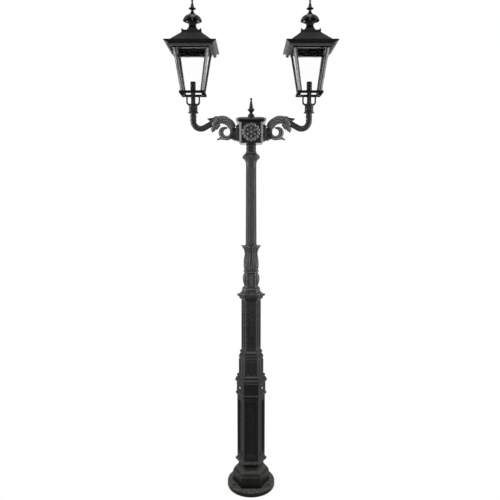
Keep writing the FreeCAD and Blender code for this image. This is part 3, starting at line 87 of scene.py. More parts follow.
def closedSurface(grid, wrapRows=False):  # rows run along, columns close round, fans shut the ends
    rows, cols = grid.shape[:2]
    points = grid.reshape(-1, 3)
    quads = gridQuads(rows, cols, wrapRows)
    tris = np.zeros((0, 3), int)
    if not wrapRows:
        points = np.concatenate([points, grid[:1].mean(1), grid[-1:].mean(1)])
        first, last = np.full(cols, rows * cols), np.full(cols, rows * cols + 1)
        j = np.arange(cols)
        k = (j + 1) % cols
        end = (rows - 1) * cols
        tris = np.concatenate([np.stack([first, j, k], -1), np.stack([last, end + k, end + j], -1)])
    if signedVolume(points, quads, tris) < 0.0:
        quads, tris = quads[:, ::-1], tris[:, ::-1]
    return points, quads, tris


def joined(surfaces):  # several surfaces as one, their indices moved up in turn
    points, quads, tris, count = [], [], [], 0
    for p, q, t in surfaces:
        points.append(p)
        quads.append(q + count)
        tris.append(t + count)
        count += len(p)
    return np.concatenate(points), np.concatenate(quads), np.concatenate(tris)


def moved(surface, shift):
    return surface[0] + np.array(shift), surface[1], surface[2]


def mirroredX(surface):  # left to right, with the faces turned so that they still point out
    return surface[0] * np.array([-1.0, 1.0, 1.0]), surface[1][:, ::-1], surface[2][:, ::-1]


def turnedZ(surface, angle):
    c, s = math.cos(angle), math.sin(angle)
    return surface[0] @ np.array([[c, s, 0], [-s, c, 0], [0, 0, 1]]), surface[1], surface[2]


def markRidges(mesh, points, passes=2):
    # attribute ridge: how far a vertex stands above the mean of its neighbours, per edge length
    total = len(points)
    edges = np.zeros(len(mesh.edges) * 2, int)
    mesh.edges.foreach_get("vertices", edges)
    normals = np.zeros(total * 3)
    mesh.vertex_normals.foreach_get("vector", normals)
    a, b = edges.reshape(-1, 2).T
    ends, others = np.concatenate([a, b]), np.concatenate([b, a])
    count = np.maximum(np.bincount(ends, minlength=total), 1)
    span = np.bincount(ends, np.linalg.norm(points[ends] - points[others], axis=1), total) / count
    sums = [np.bincount(ends, points[others, k], total) for k in range(3)]
    mean = np.stack(sums, -1) / count[:, None]
    ridge = np.einsum("ij,ij->i", normals.reshape(-1, 3), points - mean) / span
    for _ in range(passes):  # spread over the neighbours
        ridge = 0.5 * ridge + 0.5 * np.bincount(ends, ridge[others], total) / count
    attribute = mesh.attributes.new("ridge", "FLOAT", "POINT")
    attribute.data.foreach_set("value", ridge.astype(np.float32))


def addPiece(name, surface, material, body, stands=()):
    points, quads, tris = surface
    mesh = bpy.data.meshes.new(name)
    mesh.from_pydata(points.tolist(), [], quads.tolist() + tris.tolist())
    mesh.polygons.foreach_set("use_smooth", np.ones(len(mesh.polygons), bool))
    mesh.update()
    mesh.materials.append(material)
    markRidges(mesh, points)
    piece = bpy.data.objects.new(name, mesh)
    bpy.context.scene.collection.objects.link(piece)
    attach(piece, body)
    if stands:
        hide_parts(*stands)


# shader tools
def feed(tree, socket, value):  # a plain value is set on the socket, an output is linked to it
    if isinstance(value, (int, float, tuple)):
        socket.default_value = value
    else:
        tree.links.new(value, socket)


def mathNode(tree, operation, a, b=0.0, clamp=False):
    node = tree.nodes.new("ShaderNodeMath")
    node.operation = operation
    node.use_clamp = clamp
    feed(tree, node.inputs[0], a)
    feed(tree, node.inputs[1], b)
    return node.outputs[0]


def noiseNode(tree, vector, scale, detail, rough):
    node = tree.nodes.new("ShaderNodeTexNoise")
    labels = ("Vector", "Scale", "Detail", "Roughness")
    for label, value in zip(labels, (vector, scale, detail, rough)):
        feed(tree, node.inputs[label], value)
    return node.outputs["Fac"]


def rangeNode(tree, value, fromLow, fromHigh, toLow, toHigh):
    node = tree.nodes.new("ShaderNodeMapRange")
    labels = ("Value", "From Min", "From Max", "To Min", "To Max")
    for label, number in zip(labels, (value, fromLow, fromHigh, toLow, toHigh)):
        feed(tree, node.inputs[label], number)
    return node.outputs["Result"]


def mixColour(tree, factor, a, b):
    node = tree.nodes.new("ShaderNodeMix")
    node.data_type = "RGBA"
    for index, value in ((0, factor), (6, a), (7, b)):  # the sockets that a colour mix uses
        feed(tree, node.inputs[index], value)
    return node.outputs[2]


def mixShaders(tree, factor, first, second):  # straight to the material's output
    mix = tree.nodes.new("ShaderNodeMixShader")
    for socket, value in zip(mix.inputs, (factor, first.outputs[0], second.outputs[0])):
        tree.links.new(value, socket)
    tree.links.new(mix.outputs[0], tree.nodes["Material Output"].inputs["Surface"])


def addBump(tree, shader, height, strength, distance):
    bump = tree.nodes.new("ShaderNodeBump")
    bump.inputs["Strength"].default_value = strength
    bump.inputs["Distance"].default_value = distance
    tree.links.new(height, bump.inputs["Height"])
    tree.links.new(bump.outputs["Normal"], shader.inputs["Normal"])


def newMaterial(name, **fixed):
    material = bpy.data.materials.new(name)
    material.use_nodes = True
    tree = material.node_tree
    shader = tree.nodes["Principled BSDF"]
    for label, value in fixed.items():
        shader.inputs[label.replace("_", " ")].default_value = value
    place = tree.nodes.new("ShaderNodeTexCoord").outputs["Object"]
    return material, tree, shader, place


# shader groups, each built once
def newGroup(name, inputs, outputs):
    group = bpy.data.node_groups.new(name, "ShaderNodeTree")
    sockets = [("Vector", "NodeSocketVector", (0.0, 0.0, 0.0))]
    sockets += [(label, "NodeSocketFloat", value) for label, value in inputs]
    for label, kind, value in sockets:
        socket = group.interface.new_socket(label, in_out="INPUT", socket_type=kind)
        socket.default_value = value
    for label in outputs:
        group.interface.new_socket(label, in_out="OUTPUT", socket_type="NodeSocketFloat")
    return group, group.nodes.new("NodeGroupInput"), group.nodes.new("NodeGroupOutput")


def groupNode(tree, group, vector, **values):
    node = tree.nodes.new("ShaderNodeGroup")
    node.node_tree = group
    tree.links.new(vector, node.inputs["Vector"])
    for label, value in values.items():
        node.inputs[label.replace("_", " ")].default_value = value
    return node


skinLook = dict(waveHeight=3.0, pitScale=0.35, pitFrom=0.30, pitTo=0.42, pitDepth=0.6,
                blotchFrom=0.35, blotchTo=0.65)


def castSkinGroup(look):  # sand-cast skin: fine grain, slow waves and pits, as a height and a blotch mask
    group, inside, outside = newGroup("castSkin", [("Grain Scale", 420.0), ("Wave Scale", 30.0)],
                                      ["Height", "Blotch"])
    vector, grainScale = inside.outputs["Vector"], inside.outputs["Grain Scale"]
    grain = noiseNode(group, vector, grainScale, 4.0, 0.6)
    wave = noiseNode(group, vector, inside.outputs["Wave Scale"], 2.0, 0.5)
    pits = noiseNode(group, vector, mathNode(group, "MULTIPLY", grainScale, look["pitScale"]), 2.0, 0.7)
    pitted = rangeNode(group, pits, look["pitFrom"], look["pitTo"], -look["pitDepth"], 0.0)
    swell = mathNode(group, "MULTIPLY", wave, look["waveHeight"])
    height = mathNode(group, "ADD", mathNode(group, "ADD", grain, swell), pitted)
    blotch = rangeNode(group, wave, look["blotchFrom"], look["blotchTo"], 0.0, 1.0)
    group.links.new(height, outside.inputs["Height"])
    group.links.new(blotch, outside.inputs["Blotch"])
    return group


dustAndTopLightLook = dict(facingFrom=0.35, cloudScale=60.0, cloudFrom=0.35, cloudTo=0.7, thinnest=0.2)


def makeDustAndTopLight(look):  # dust on faces that look up, broken by noise; the same mask lays painted light from above on those faces
    group, inside, outside = newGroup("dustAndTopLightGroup", [("Amount", 0.5)], ["Mask"])
    split = group.nodes.new("ShaderNodeSeparateXYZ")
    group.links.new(group.nodes.new("ShaderNodeNewGeometry").outputs["Normal"], split.inputs[0])
    facing = rangeNode(group, split.outputs["Z"], look["facingFrom"], 1.0, 0.0, 1.0)
    noise = noiseNode(group, inside.outputs["Vector"], look["cloudScale"], 5.0, 0.65)
    cloud = rangeNode(group, noise, look["cloudFrom"], look["cloudTo"], look["thinnest"], 1.0)
    lying = mathNode(group, "MULTIPLY", facing, cloud)
    mask = mathNode(group, "MULTIPLY", lying, inside.outputs["Amount"], True)
    group.links.new(mask, outside.inputs["Mask"])
    return group


castSkin = castSkinGroup(skinLook)
dustAndTopLightGroup = makeDustAndTopLight(dustAndTopLightLook)

coatLook = dict(specular=0.16, grainScale=420.0, waveScale=26.0, dustAndTopLight=0.20, rough=0.17, smoother=0.05,
                rougher=0.06, dustRough=0.25, bump=0.08, bumpHeight=0.0004, rubAndHighlight=0.0, ceilingShade=0.0,
                dark=(0.0032, 0.0034, 0.0038, 1.0), light=(0.0056, 0.0059, 0.0066, 1.0),
                dustAndTopLightColour=(0.050, 0.051, 0.051, 1.0))
satinLook = dict(coatLook, specular=0.17, rough=0.28, bump=0.10,
                 dark=(0.0036, 0.0039, 0.0046, 1.0), light=(0.0060, 0.0065, 0.0075, 1.0))
# carved pieces: a lighter coat than the plain one, with ridges painted lighter still, partly wear and partly
# painted highlight
carvedLook = dict(coatLook, rough=0.30, rubAndHighlight=1.0, rubAndHighlightFrom=0.010, rubAndHighlightTo=0.085,
                  rubAndHighlightColour=(0.090, 0.094, 0.100, 1.0),
                  dark=(0.0120, 0.0126, 0.0134, 1.0), light=(0.0170, 0.0178, 0.0190, 1.0))
# brim roll and arm carving: ridges painted lighter, painted light on the roll in the brim's shade and painted
# highlight along the arms
rollLitCoat = dict(carvedLook, rubAndHighlightFrom=0.0, rubAndHighlightColour=(0.045, 0.046, 0.048, 1.0))
armHighlightCoat = dict(carvedLook, rubAndHighlightColour=(0.180, 0.185, 0.191, 1.0))
# rosette: ridges painted almost white, a painted highlight
rosetteHighlightCoat = dict(carvedLook, rubAndHighlightTo=0.10, rubAndHighlightColour=(0.420, 0.426, 0.432, 1.0))
# column, neck, arm tubes and posts: lighter copies of the black coat, painted light for the broad highlights
# these parts take
columnLitLook = dict(coatLook, rough=0.34,
                  dark=(0.0240, 0.0252, 0.0270, 1.0), light=(0.0340, 0.0358, 0.0380, 1.0))
tubeLitLook = dict(coatLook, specular=0.20, rough=0.26,
                dark=(0.0105, 0.0108, 0.0112, 1.0), light=(0.0155, 0.0159, 0.0164, 1.0))
neckLitLook = dict(columnLitLook, dark=(0.0150, 0.0158, 0.0170, 1.0), light=(0.0220, 0.0231, 0.0246, 1.0))
postLitLook = dict(columnLitLook, specular=0.35, rough=0.28)
# base iron: a heavy brownish layer on upward faces, partly dust and partly painted light from above on the
# mouldings and sills
ironLook = dict(coatLook, specular=0.10, grainScale=300.0, rough=0.36, bump=0.35, dustAndTopLight=0.60,
                dark=(0.0032, 0.0031, 0.0029, 1.0), light=(0.0058, 0.0056, 0.0052, 1.0),
                dustAndTopLightColour=(0.130, 0.120, 0.105, 1.0))
# roof: the ceiling keys paint shade on the flat ceilings, the eaves keys paint a reflection under the eaves
roofLook = dict(coatLook, specular=0.05, rough=0.46, bump=0.25, ceilingShade=1.0, ceilingShadeRough=0.6,
                ceilingShadeColour=(0.001, 0.001, 0.001, 1.0), ceiling=(-0.99, -0.95), eaves=(-0.90, -0.86),
                flank=(0.2, 0.3), eavesCoat=0.45, eavesRough=0.50, eavesReflectionColour=(0.085, 0.086, 0.087, 1.0),
                dark=(0.0045, 0.0045, 0.0046, 1.0), light=(0.0070, 0.0070, 0.0072, 1.0))


def coatedCasting(name, look):  # black coat on a casting
    material, tree, shader, place = newMaterial(name, Specular_IOR_Level=look["specular"])
    skin = groupNode(tree, castSkin, place, Grain_Scale=look["grainScale"], Wave_Scale=look["waveScale"])
    blotch = skin.outputs["Blotch"]
    dustAndTopLight = groupNode(tree, dustAndTopLightGroup, place, Amount=look["dustAndTopLight"]).outputs["Mask"]
    coat = mixColour(tree, blotch, look["dark"], look["light"])
    if look["rubAndHighlight"]:  # ridges lighter as worn coat and as a painted highlight, hollows left at the darker coat
        ridge = tree.nodes.new("ShaderNodeAttribute")
        ridge.attribute_name = "ridge"
        rubbedAndLit = rangeNode(tree, ridge.outputs["Fac"], look["rubAndHighlightFrom"], look["rubAndHighlightTo"], 0.0, look["rubAndHighlight"])
        coat = mixColour(tree, rubbedAndLit, coat, look["rubAndHighlightColour"])
    coat = mixColour(tree, dustAndTopLight, coat, look["dustAndTopLightColour"])
    rough = rangeNode(tree, blotch, 0.0, 1.0, look["rough"] - look["smoother"], look["rough"] + look["rougher"])
    rough = mathNode(tree, "ADD", rough, mathNode(tree, "MULTIPLY", dustAndTopLight, look["dustRough"]), True)
    if look["ceilingShade"]:  # painted shade: near black on the flat ceilings; painted reflection: light grey under the eaves at the sides, where a clear coat is laid too
        split = tree.nodes.new("ShaderNodeSeparateXYZ")
        tree.links.new(tree.nodes.new("ShaderNodeTexCoord").outputs["Normal"], split.inputs[0])
        ceilingShade = rangeNode(tree, split.outputs["Z"], *look["ceiling"], look["ceilingShade"], 0.0)
        under = rangeNode(tree, split.outputs["Z"], *look["eaves"], 1.0, 0.0)
        flank = rangeNode(tree, mathNode(tree, "ABSOLUTE", split.outputs["X"]), *look["flank"], 0.0, 1.0)
        film = mathNode(tree, "MULTIPLY", under, flank)
        tree.links.new(mathNode(tree, "MULTIPLY", film, look["eavesCoat"]), shader.inputs["Coat Weight"])
        shader.inputs["Coat Roughness"].default_value = look["eavesRough"]
        # painted reflection: light grey laid on the eaves' undersides
        coat = mixColour(tree, film, coat, look["eavesReflectionColour"])
        coat = mixColour(tree, ceilingShade, coat, look["ceilingShadeColour"])
        rough = mathNode(tree, "ADD", rough, mathNode(tree, "MULTIPLY", ceilingShade, look["ceilingShadeRough"]), True)
    tree.links.new(coat, shader.inputs["Base Color"])
    tree.links.new(rough, shader.inputs["Roughness"])
    addBump(tree, shader, skin.outputs["Height"], look["bump"], look["bumpHeight"])
    return material


blackCasting = coatedCasting("blackCasting", coatLook)
blackIron = coatedCasting("blackIron", ironLook)
carvedCasting = coatedCasting("carvedCasting", carvedLook)
armCasting = coatedCasting("armCasting", armHighlightCoat)
rosetteCasting = coatedCasting("rosetteCasting", rosetteHighlightCoat)
rollCasting = coatedCasting("rollCasting", rollLitCoat)
roofCasting = coatedCasting("roofCasting", roofLook)
columnCasting = coatedCasting("columnCasting", columnLitLook)
armTubing = coatedCasting("armTubing", tubeLitLook)
neckCasting = coatedCasting("neckCasting", neckLitLook)
postCasting = coatedCasting("postCasting", postLitLook)
satinCasting = coatedCasting("satinCasting", satinLook)

metalLook = dict(blotchScale=90.0, blotchFrom=0.4, blotchTo=0.7, dull=0.62, scratchFrom=0.3, scratchTo=0.7,
                 smoother=0.08, rougher=0.12, bump=0.15, bumpHeight=0.0002)


def bareMetal(name, colour, rough, streak, look=metalLook):  # fine scratches and dull blotches
    material, tree, shader, place = newMaterial(name, Metallic=1.0)
    scratch = noiseNode(tree, place, streak, 6.0, 0.7)
    blotch = noiseNode(tree, place, look["blotchScale"], 3.0, 0.6)
    dull = tuple(c * look["dull"] for c in colour[:3]) + (1.0,)
    dulled = rangeNode(tree, blotch, look["blotchFrom"], look["blotchTo"], 0.0, 1.0)
    worn = rangeNode(tree, scratch, look["scratchFrom"], look["scratchTo"],
                     rough - look["smoother"], rough + look["rougher"])
    tree.links.new(mixColour(tree, dulled, colour, dull), shader.inputs["Base Color"])
    tree.links.new(worn, shader.inputs["Roughness"])
    addBump(tree, shader, scratch, look["bump"], look["bumpHeight"])
    return material


plasticLook = dict(grainScale=900.0, grainFrom=0.3, grainTo=0.7, cloudScale=40.0, roughSpread=0.06,
                   bump=0.2, bumpHeight=0.0002)


def mouldedPlastic(name, dark, light, rough, specular=0.4, look=plasticLook):  # or rubber, fine texture
    material, tree, shader, place = newMaterial(name, Specular_IOR_Level=specular)
    grain = noiseNode(tree, place, look["grainScale"], 3.0, 0.6)
    cloud = noiseNode(tree, place, look["cloudScale"], 3.0, 0.5)
    worn = rangeNode(tree, grain, look["grainFrom"], look["grainTo"],
                     rough - look["roughSpread"], rough + look["roughSpread"])
    tree.links.new(mixColour(tree, cloud, dark, light), shader.inputs["Base Color"])
    tree.links.new(worn, shader.inputs["Roughness"])
    addBump(tree, shader, grain, look["bump"], look["bumpHeight"])
    return material


glassLook = dict(ior=1.13, ripple=9.0, film=35.0, filmFrom=0.45, filmTo=0.8, filmRough=0.06, bump=0.05,
                 bumpHeight=0.001, clear=(1.0, 1.0, 1.0, 1.0), tint=(0.985, 0.988, 0.988, 1.0))


def paneGlass(name, look):  # clear pane: slow ripples, a thin film of dust in the noise
    material, tree, shader, place = newMaterial(name, Transmission_Weight=1.0, IOR=look["ior"])
    ripple = noiseNode(tree, place, look["ripple"], 2.0, 0.5)
    film = noiseNode(tree, place, look["film"], 5.0, 0.65)
    dusty = rangeNode(tree, film, look["filmFrom"], look["filmTo"], 0.0, look["filmRough"])
    tree.links.new(mixColour(tree, film, look["clear"], look["tint"]), shader.inputs["Base Color"])
    tree.links.new(dusty, shader.inputs["Roughness"])
    addBump(tree, shader, ripple, look["bump"], look["bumpHeight"])
    path = tree.nodes.new("ShaderNodeLightPath")  # lamps shine straight through
    clear = tree.nodes.new("ShaderNodeBsdfTransparent")
    mixShaders(tree, path.outputs["Is Shadow Ray"], shader, clear)
    return material


slotMaterial = {
    "black_casting": blackCasting,
    "black_iron": blackIron,
    "bright_steel": bareMetal("brightSteel", (0.88, 0.88, 0.88, 1.0), 0.25, 500.0),
    "zinc_steel": bareMetal("zincSteel", (0.45, 0.46, 0.47, 1.0), 0.42, 250.0),
    "grey_plastic": mouldedPlastic("greyPlastic", (0.30, 0.31, 0.32, 1.0), (0.40, 0.41, 0.42, 1.0), 0.55),
    "black_plastic": mouldedPlastic("blackPlastic", (0.0045, 0.0045, 0.0050, 1.0),
                                    (0.0080, 0.0080, 0.0085, 1.0), 0.6, 0.06),
    "lead_rubber": mouldedPlastic("leadRubber", (0.018, 0.018, 0.018, 1.0), (0.03, 0.03, 0.03, 1.0), 0.65),
    "brass": bareMetal("shellBrass", (0.75, 0.55, 0.22, 1.0), 0.3, 400.0),
    "clear_glass": paneGlass("clearGlass", glassLook),
}
ownFinish = [  # nodes whose finish isn't the plain one of their slot
    (blackCasting, ["door_lock", "arm_bolts", "lid_screws"]),  # fitted before the coat went on
    (roofCasting, ["left_roof", "right_roof", "left_bottom_frame", "right_bottom_frame"]),
    (satinCasting, ["hex_shaft"]),
    (postCasting, ["left_corner_posts", "right_corner_posts"]),
    (columnCasting, ["fluted_column", "column_capital"]),
    (neckCasting, ["head_collar", "head_finial"]),
    (armTubing, ["left_arm", "right_arm", "left_yoke", "right_yoke"]),
]
nodeMaterial = {name: slotMaterial[slotOfNode[name]] for name in nodes}
for finish, names in ownFinish:
    nodeMaterial.update(dict.fromkeys(names, finish))
for name, node in nodes.items():
    node.data.materials.clear()
    node.data.materials.append(nodeMaterial[name])
print("finishes made:", len(slotMaterial))


# carved pieces
def ringAngles(count):
    return np.linspace(0.0, 2.0 * math.pi, count, endpoint=False)


def footLevel(node):
    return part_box(node)[0].z


def topLevel(node):
    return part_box(node)[1].z


def leafPhase(theta, count, first):  # -1 to 1 across each of count leaves, 0 on a leaf's middle
    pitch = 2.0 * math.pi / count
    return ((theta - first + pitch / 2.0) % pitch) / (pitch / 2.0) - 1.0


def alongProfile(points, count):  # equal steps along (radius, height) points, eased by a running mean
    points = np.array(points)
    steps = np.concatenate([[0.0], np.cumsum(np.hypot(*np.diff(points, axis=0).T))])
    at = np.linspace(0.0, steps[-1], count)
    line = np.stack([np.interp(at, steps, points[:, k]) for k in (0, 1)], -1)
    soft = line.copy()
    soft[1:-1] = (line[:-2] + 2.0 * line[1:-1] + line[2:]) / 4.0
    return soft, at / steps[-1]


cupLook = dict(leaves=6, first=0.0, rings=160, columns=360, top=0.184, bore=0.0400, seamDepth=0.0085,
               ribHeight=0.0030, veinHeight=0.0013, veinPitch=15.0, veinSlant=6.0, budHeight=0.0050,
               budAt=0.17, lipHeight=0.0030, lipAt=0.72, tipOut=0.0035, edgeDrop=0.026, edgeIn=0.013,
               outline=[(0.0455, 0.000), (0.0500, 0.010), (0.0526, 0.030), (0.0530, 0.052), (0.0512, 0.078),
                        (0.0470, 0.103), (0.0440, 0.119), (0.0452, 0.136), (0.0500, 0.154), (0.0580, 0.171),
                        (0.0630, 0.1795), (0.0642, 0.1825), (0.0628, 0.1855), (0.0570, 0.1835),
                        (0.0500, 0.1765), (0.0440, 0.1750), (0.0400, 0.1748)])


def carvedCup(look):
    # outline turned about Z; radius and height both vary with the place across each leaf
    line, s = alongProfile(look["outline"], look["rings"])
    theta = ringAngles(look["columns"])
    a = leafPhase(theta, look["leaves"], look["first"])[None, :]
    off = np.abs(a)
    r, z = line[:, :1], line[:, 1:]
    up = np.clip(z / look["top"], 0.0, 1.0)
    outer = 1.0 - smoothStep(0.86, 0.93, s)[:, None]  # the dish inside stays smooth
    foot = smoothStep(0.0, 0.06, s)[:, None]
    seam = -look["seamDepth"] * off ** 6 * (0.45 + 0.55 * up)
    rib = look["ribHeight"] * bell(a, 0.11) * (0.35 + 0.65 * up)
    veins = look["veinHeight"] * np.cos(off * look["veinPitch"] - up * look["veinSlant"])
    veins = veins * smoothStep(0.12, 0.3, off) * (1.0 - off ** 6)
    bud = look["budHeight"] * np.exp(-((1.0 - off) / 0.17) ** 2 - ((up - look["budAt"]) / 0.06) ** 2)
    lip = look["lipHeight"] * bell(off - look["lipAt"], 0.12) * smoothStep(0.70, 0.86, up)  # rolled edge
    relief = (seam + rib + veins + bud + lip) * outer * foot
    curl = smoothStep(0.78, 1.0, up)
    edge = off ** 2.2
    radius = r + relief + curl * (look["tipOut"] * (1.0 - edge) - look["edgeIn"] * edge) * outer
    height = z - look["edgeDrop"] * edge * outer * smoothStep(0.84, 1.0, up)
    return closedSurface(turnedGrid(np.maximum(radius, look["bore"]), theta, height))


vaseLook = dict(leaves=12, first=math.pi / 2.0, rings=230, columns=360, lobeDepth=0.0075, ribHeight=0.0016,
                tipHeight=0.0034, lobeHead=0.145, lobeLength=0.080,
                outline=[(0.0245, 0.0002), (0.0810, 0.0002), (0.0820, 0.0015), (0.0790, 0.0090),
                         (0.0715, 0.0160), (0.0660, 0.0200), (0.0655, 0.0230), (0.0655, 0.0420),
                         (0.0645, 0.0445), (0.0590, 0.0475), (0.0540, 0.0530), (0.0512, 0.0600),
                         (0.0506, 0.0660), (0.0536, 0.0770), (0.0572, 0.0930), (0.0590, 0.1110),
                         (0.0580, 0.1290), (0.0540, 0.1430), (0.0500, 0.1500), (0.0498, 0.1535),
                         (0.0515, 0.1590), (0.0560, 0.1632), (0.0570, 0.1655), (0.0568, 0.1685),
                         (0.0545, 0.1689), (0.0245, 0.1689)])


def carvedVase(look):
    # outline turned about Z; drop-shaped lobes hang round the belly and narrow downwards
    line, _ = alongProfile(look["outline"], look["rings"])
    theta = ringAngles(look["columns"])
    a = leafPhase(theta, look["leaves"], look["first"])[None, :]
    r, z = line[:, :1], line[:, 1:]
    belly = smoothStep(0.063, 0.077, z) * (1.0 - smoothStep(0.135, 0.149, z))
    down = np.clip((look["lobeHead"] - z) / look["lobeLength"], 0.0, 1.0)
    width = np.clip(1.02 - 0.55 * down ** 1.6, 0.05, 1.05)  # the lobe is widest at its head
    lobe = look["lobeDepth"] * (dome(a / width) - 1.0)
    rib = look["ribHeight"] * bell(a, 0.13)
    tips = look["tipHeight"] * bell(1.0 - np.abs(a), 0.20) * smoothStep(0.45, 0.95, down)  # second row
    radius = r + belly * (lobe + rib + tips)
    return closedSurface(turnedGrid(radius, theta, z))


rosetteLook = dict(radius=0.0618, face=-0.083, columns=336, rings=90, lobes=14, petals=6, plate=0.0022,
                   lobeHeight=0.0100, lobeAt=0.79, lobeHalf=0.19, petalHeight=0.0095, petalEnd=0.58,
                   grooveDepth=0.0018, bossHeight=0.0115, bossRadius=0.16, innermost=0.004)


def carvedRosette(look):
    # round height field: ring of C-shaped lobes, six petals and a boss, shut by a flat back
    theta = ringAngles(look["columns"])[None, :]
    k = np.linspace(0.0, 1.0, look["rings"])[:, None]
    a = leafPhase(theta, look["lobes"], math.pi / 2.0)
    b = leafPhase(theta, look["petals"], math.pi / 2.0)
    r = np.maximum(k, look["innermost"]) * look["radius"] * (1.0 - 0.10 * np.abs(a) ** 3)
    mid = (k - look["lobeAt"]) / look["lobeHalf"]
    d = np.sqrt((a / 0.95) ** 2 + mid ** 2)
    mouth = smoothStep(0.25, 0.75, np.abs(a) + np.clip(mid + 0.5, 0.0, 2.0))  # the C opens inwards
    ring = look["lobeHeight"] * bell(d - 0.70, 0.20) * (0.2 + 0.8 * mouth)
    eye = 0.4 * look["lobeHeight"] * bell(d, 0.20)
    reach = np.clip(k / look["petalEnd"], 0.0, 1.0)
    width = 0.92 * np.sin(math.pi * reach ** 0.75) ** 0.6 + 1e-3
    petal = look["petalHeight"] * dome(b / width) * (0.35 + 0.65 * reach) * (1.0 - smoothStep(0.54, 0.59, k))
    groove = -look["grooveDepth"] * bell(b, 0.12) * smoothStep(0.2, 0.3, k) * (1.0 - smoothStep(0.48, 0.54, k))
    boss = look["bossHeight"] * dome(k / look["bossRadius"])
    relief = np.maximum(np.maximum(ring + eye, petal + groove), boss)
    height = look["plate"] + relief * (1.0 - smoothStep(0.96, 1.0, k))
    top = pointGrid(r * np.cos(theta), look["face"] - height, r * np.sin(theta))
    back = pointGrid(top[-1:, :, 0], look["face"], top[-1:, :, 2])
    return closedSurface(np.concatenate([top, back]))


beadLook = dict(ring=0.0362, rise=0.0030, bead=0.0044, count=28, steps=12)


def beadString(look):  # ring whose thickness swells and pinches count times
    theta = ringAngles(look["count"] * look["steps"])[:, None]
    u = ringAngles(look["steps"])[None, :]
    thick = look["bead"] * np.sqrt(0.12 + 0.88 * np.abs(np.sin(theta * look["count"] / 2.0)))
    r = look["ring"] + thick * np.cos(u)
    return closedSurface(turnedGrid(r, theta, look["rise"] + thick * np.sin(u)), True)


# left arm's carving; heights are above the arm's axis
sideways = np.array([0.0, 1.0, 0.0])  # square to the arm's plane


def spokes(a):  # unit steps at the angles a in the arm's plane
    return pointGrid(np.cos(a), 0.0, np.sin(a))


def circlePath(centre, radius, a):  # points at the angles a in the arm's plane
    return pointGrid(centre[0] + radius * np.cos(a), 0.0, centre[1] + radius * np.sin(a))


def unitAlong(path):  # direction of a path at each of its points
    along = np.gradient(path, axis=0)
    return along / np.linalg.norm(along, axis=1)[:, None]


def tubeAlong(path, radius, wide, columns=20):  # oval rings stand square to a path in the arm's plane
    along = unitAlong(path)
    side = pointGrid(-along[:, 2], 0.0, along[:, 0])
    u = ringAngles(columns)[None, :, None]
    out = side[:, None, :] * np.cos(u) + sideways * wide * np.sin(u)
    return closedSurface(path[:, None, :] + out * radius[:, None, None])


archLook = dict(centre=(-0.208, 0.014), radius=0.079, start=16.0, end=121.0, rings=120, columns=120,
                sleeve=0.0256, tube=0.0247, veins=5.0, spread=2.6, veinHeight=0.0034, crestHeight=0.0026,
                teeth=6.0, toothDepth=9.0, flare=0.0045)


def archLeaf(look):
    # sleeve round the arch: veins part from its crest as they run on, a toothed far edge stands off the tube
    u = ringAngles(look["columns"])[None, :]
    v = np.linspace(0.0, 1.0, look["rings"])[:, None]
    teeth = 0.5 + 0.5 * np.cos(u * look["teeth"])
    cutBack = look["toothDepth"] * (1.0 - teeth) * smoothStep(0.72, 1.0, v)
    a = np.radians(look["start"] + (look["end"] - look["start"]) * v - cutBack)
    fromCrest = np.abs((u + math.pi) % (2.0 * math.pi) - math.pi) / math.pi
    veins = np.abs(np.sin(math.pi * (look["veins"] * fromCrest - look["spread"] * v)))
    relief = look["veinHeight"] * (veins ** 0.8 - 0.45) + look["crestHeight"] * bell(fromCrest, 0.06)
    body = look["sleeve"] + relief * smoothStep(0.02, 0.12, v)
    ends = np.where(v > 0.985, 0.84, 1.0) * np.where(v < 0.01, 0.85, 1.0)  # both ends dip into the tube
    rho = np.maximum(body + look["flare"] * smoothStep(0.80, 1.0, v) * teeth, look["tube"]) * ends
    out, across = (rho * np.cos(u))[..., None], (rho * np.sin(u))[..., None]
    return closedSurface(circlePath(look["centre"], look["radius"], a) + spokes(a) * out + sideways * across)


hornLook = dict(centre=(-0.171, 0.006), inner=0.0240, start=-30.0, end=-278.0, rings=120, columns=48,
                at=[0.0, 0.25, 0.55, 0.72, 0.88, 1.0], flutes=6.0, fluteDepth=0.05, widest=0.0158,
                half=[0.0150, 0.0152, 0.0172, 0.0152, 0.0090, 0.0012])


def scrollHorn(look):  # fat at the left, drawn out to a hooked tip that lies on the inner circle
    a = np.radians(np.linspace(look["start"], look["end"], look["rings"]))
    half = np.interp(np.linspace(0.0, 1.0, look["rings"]), look["at"], look["half"])
    path = circlePath(look["centre"], look["inner"] + half, a)
    u = ringAngles(look["columns"])[None, :]
    flute = 1.0 + look["fluteDepth"] * np.cos(look["flutes"] * u)
    wide = np.minimum(half, look["widest"])
    out = (half[:, None] * np.cos(u) * flute)[..., None]
    across = (wide[:, None] * np.sin(u) * flute)[..., None]
    return closedSurface(path[:, None, :] + spokes(a)[:, None, :] * out + sideways * across)


bladeLook = dict(columns=28, ribPitch=12.0, midRib=1.8, midWidth=0.16, fullRib=0.008, flatness=0.75)


def leafBlade(path, outward, half, thick, cup=0.25, ribs=0.0006, look=bladeLook):
    # lens-shaped section with a raised middle, carried along a path
    along = unitAlong(path)
    outward = np.array(outward) - along * (along @ np.array(outward))[:, None]
    outward /= np.linalg.norm(outward, axis=1)[:, None]
    across = np.cross(along, outward)
    u = ringAngles(look["columns"])[None, :]
    t, top = np.cos(u), np.sin(u)
    half, thick = half[:, None], thick[:, None]
    rib = np.cos(t * look["ribPitch"]) * (1.0 - t ** 2) + look["midRib"] * bell(t, look["midWidth"])
    rib = ribs * rib * (top > 0.0) * np.minimum(half / look["fullRib"], 1.0)
    lens = thick * top * np.sqrt(np.clip(1.0 - look["flatness"] * t ** 2, 0.0, 1.0))
    lift = -cup * half * t ** 2 + lens + rib
    return closedSurface(path[:, None, :] + across[:, None, :] * (half * t)[..., None]
                         + outward[:, None, :] * lift[..., None])


